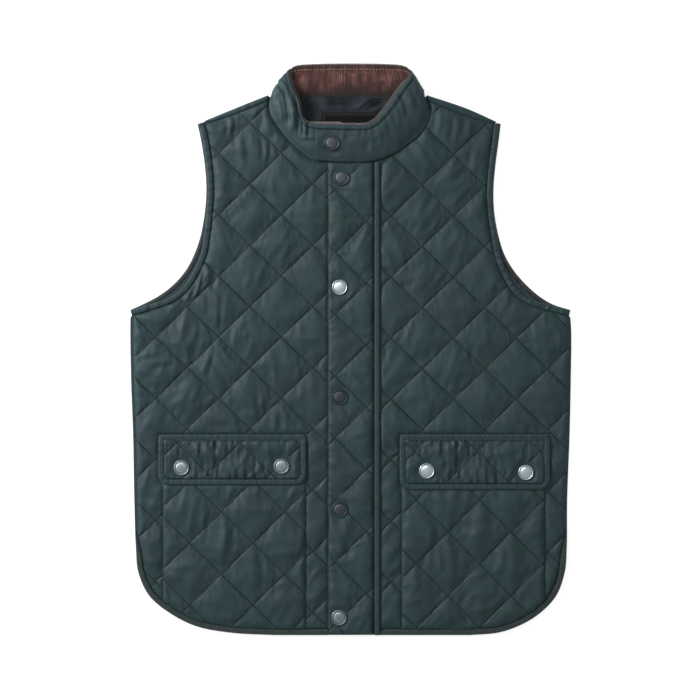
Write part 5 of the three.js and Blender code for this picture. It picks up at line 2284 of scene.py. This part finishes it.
class Snaps:
    """The ten snaps and where they sit."""

    def __init__(self) -> None:
        """Notes each snap's place, and how bright it is set: rubbed plating, and a painted reflection that
        differs from cap to cap.
        """
        on_placket = LEVELS.on_front + LEVELS.pressed
        on_flap = LEVELS.on_pocket + LEVELS.pressed
        self.placket = [
            (-11.6, 571.9, 0.12), (-13.8, 435.4, 1.0), (-13.8, 298.1, 0.07), (-13.8, 157.5, 0.09),
            (-14.7, 22.6, 0.45),
        ]
        self.flaps = {
            Side.LEFT: [(-211.6, 210.0, 0.55, "outer"), (-86.6, 211.8, 0.5, "inner")],
            Side.RIGHT: [(94.9, 206.0, 1.3, "inner"), (218.6, 204.0, 1.4, "outer")],
        }
        lift = LEVELS.lifted
        self.caps = [
            Snap(f"snap_placket_{i + 1}", x, y, on_placket + float(lift(x, y)), rubbed)
            for i, (x, y, rubbed) in enumerate(self.placket)
        ]
        self.caps += [
            Snap(f"snap_flap_{side.hand}_{where}", x, y, on_flap, rubbed)
            for side, rows in self.flaps.items()
            for x, y, rubbed, where in rows
        ]
        self.caps.append(Snap("snap_collar", -23.4, 614.4, 20.5, 0.1))

    def build(self, material: bpy.types.Material) -> list[bpy.types.Object]:
        """Makes every cap."""
        return [cap.build(material) for cap in self.caps]


@dataclass(frozen=True)
class Studio:
    """White paper, soft light from the upper left, and a camera straight above the vest."""

    camera_height: float = 2.437
    lens: float = 100.0
    sensor: float = 36.0
    aim: tuple = (-0.0009, -0.0003)
    floor_half: float = 12.0
    world: float = 0.34
    # Each light's place, width and power
    key_light: tuple = ((-1.95, 0.9, 1.2), 1.1, 54.0)
    top_light: tuple = ((-0.5, 0.9, 2.4), 1.2, 10.0)

    def build(self, finishes: Finishes) -> None:
        """Makes the floor, the lights and the camera."""
        self.floor(finishes.paper)
        self.soft_box("key_light", *self.key_light)
        self.soft_box("top_light", *self.top_light)
        self.sky()
        self.camera()
        bpy.context.scene.view_settings.view_transform = "Standard"

    def floor(self, material: bpy.types.Material) -> None:
        """One large sheet of paper at the level that the vest lies on."""
        reach = self.floor_half
        mesh = bpy.data.meshes.new("paper_floor")
        corners = [(-reach, -reach, 0), (reach, -reach, 0), (reach, reach, 0), (-reach, reach, 0)]
        mesh.from_pydata(corners, [], [(0, 1, 2, 3)])
        mesh.materials.append(material)
        paper = bpy.data.objects.new("paper_floor", mesh)
        bpy.context.scene.collection.objects.link(paper)

    def soft_box(self, name: str, place: tuple, size: float, power: float) -> None:
        """A square soft light that looks at the vest's middle."""
        data = bpy.data.lights.new(name, "AREA")
        data.size = size
        data.energy = power
        lamp = bpy.data.objects.new(name, data)
        lamp.location = place
        bpy.context.scene.collection.objects.link(lamp)
        lamp.rotation_euler = Vector(place).to_track_quat("Z", "Y").to_euler()

    def sky(self) -> None:
        """An even white surrounding."""
        world = bpy.data.worlds.new("soft_surrounding")
        world.use_nodes = True
        world.node_tree.nodes["Background"].inputs[0].default_value = (1.0, 1.0, 1.0, 1.0)
        world.node_tree.nodes["Background"].inputs[1].default_value = self.world
        bpy.context.scene.world = world

    def camera(self) -> None:
        """A long lens straight above, framed as the photograph is."""
        data = bpy.data.cameras.new("photo_camera")
        data.lens = self.lens
        data.sensor_width = self.sensor
        camera = bpy.data.objects.new("photo_camera", data)
        camera.location = (*self.aim, self.camera_height)
        bpy.context.scene.collection.objects.link(camera)
        bpy.context.scene.camera = camera


def report(label: str, pieces: list) -> None:
    """Logs what was made."""
    for piece in pieces:
        log.info("%s: %s, %d faces", label, piece.name, len(piece.data.polygons))


def settle_quilting(panels: list[QuiltedPanel]) -> None:
    """Runs the cloth simulation of all quilted panels together.

    Args:
        panels: The panels, which keep their settled tops.
    """
    bench = ClothBench()
    for panel in panels:
        panel.lay_out(bench)
    settled = bench.settle()
    for panel in panels:
        panel.take(settled)
        log.info("settled %s, highest %.1f mm", panel.name, panel.top[:, 2].max())


def main() -> None:
    """Builds the vest in the order in which it is layered, and then the studio."""
    logging.basicConfig(level=logging.INFO, format="%(message)s")
    finishes = Finishes()
    book, tan_book = StitchBook(), StitchBook(length=2.7, width=0.5, height=0.4)
    snaps = Snaps()
    flap_snaps = {side: [(x, y) for x, y, _, _ in rows] for side, rows in snaps.flaps.items()}
    fronts = VestFronts(finishes, flap_snaps)
    storm_flap = StormFlap(finishes, [(x, y) for x, y, _ in snaps.placket])
    settle_quilting([*fronts.panels[Side.LEFT], *fronts.panels[Side.RIGHT], storm_flap.panel])
    report("back", VestBack(finishes).build())
    report("neck", NeckInside(finishes).build())
    report("front", fronts.build(book))
    report("storm flap", storm_flap.build(book))
    report("collar", StandCollar(finishes).build(book, tan_book))
    report("snaps", snaps.build(finishes.silver))
    threads = [
        book.make("quilting_thread", finishes.dark_thread),
        tan_book.make("collar_topstitch", finishes.tan_thread),
    ]
    report("thread", threads)
    Studio().build(finishes)


if __name__ == "__main__":
    main()
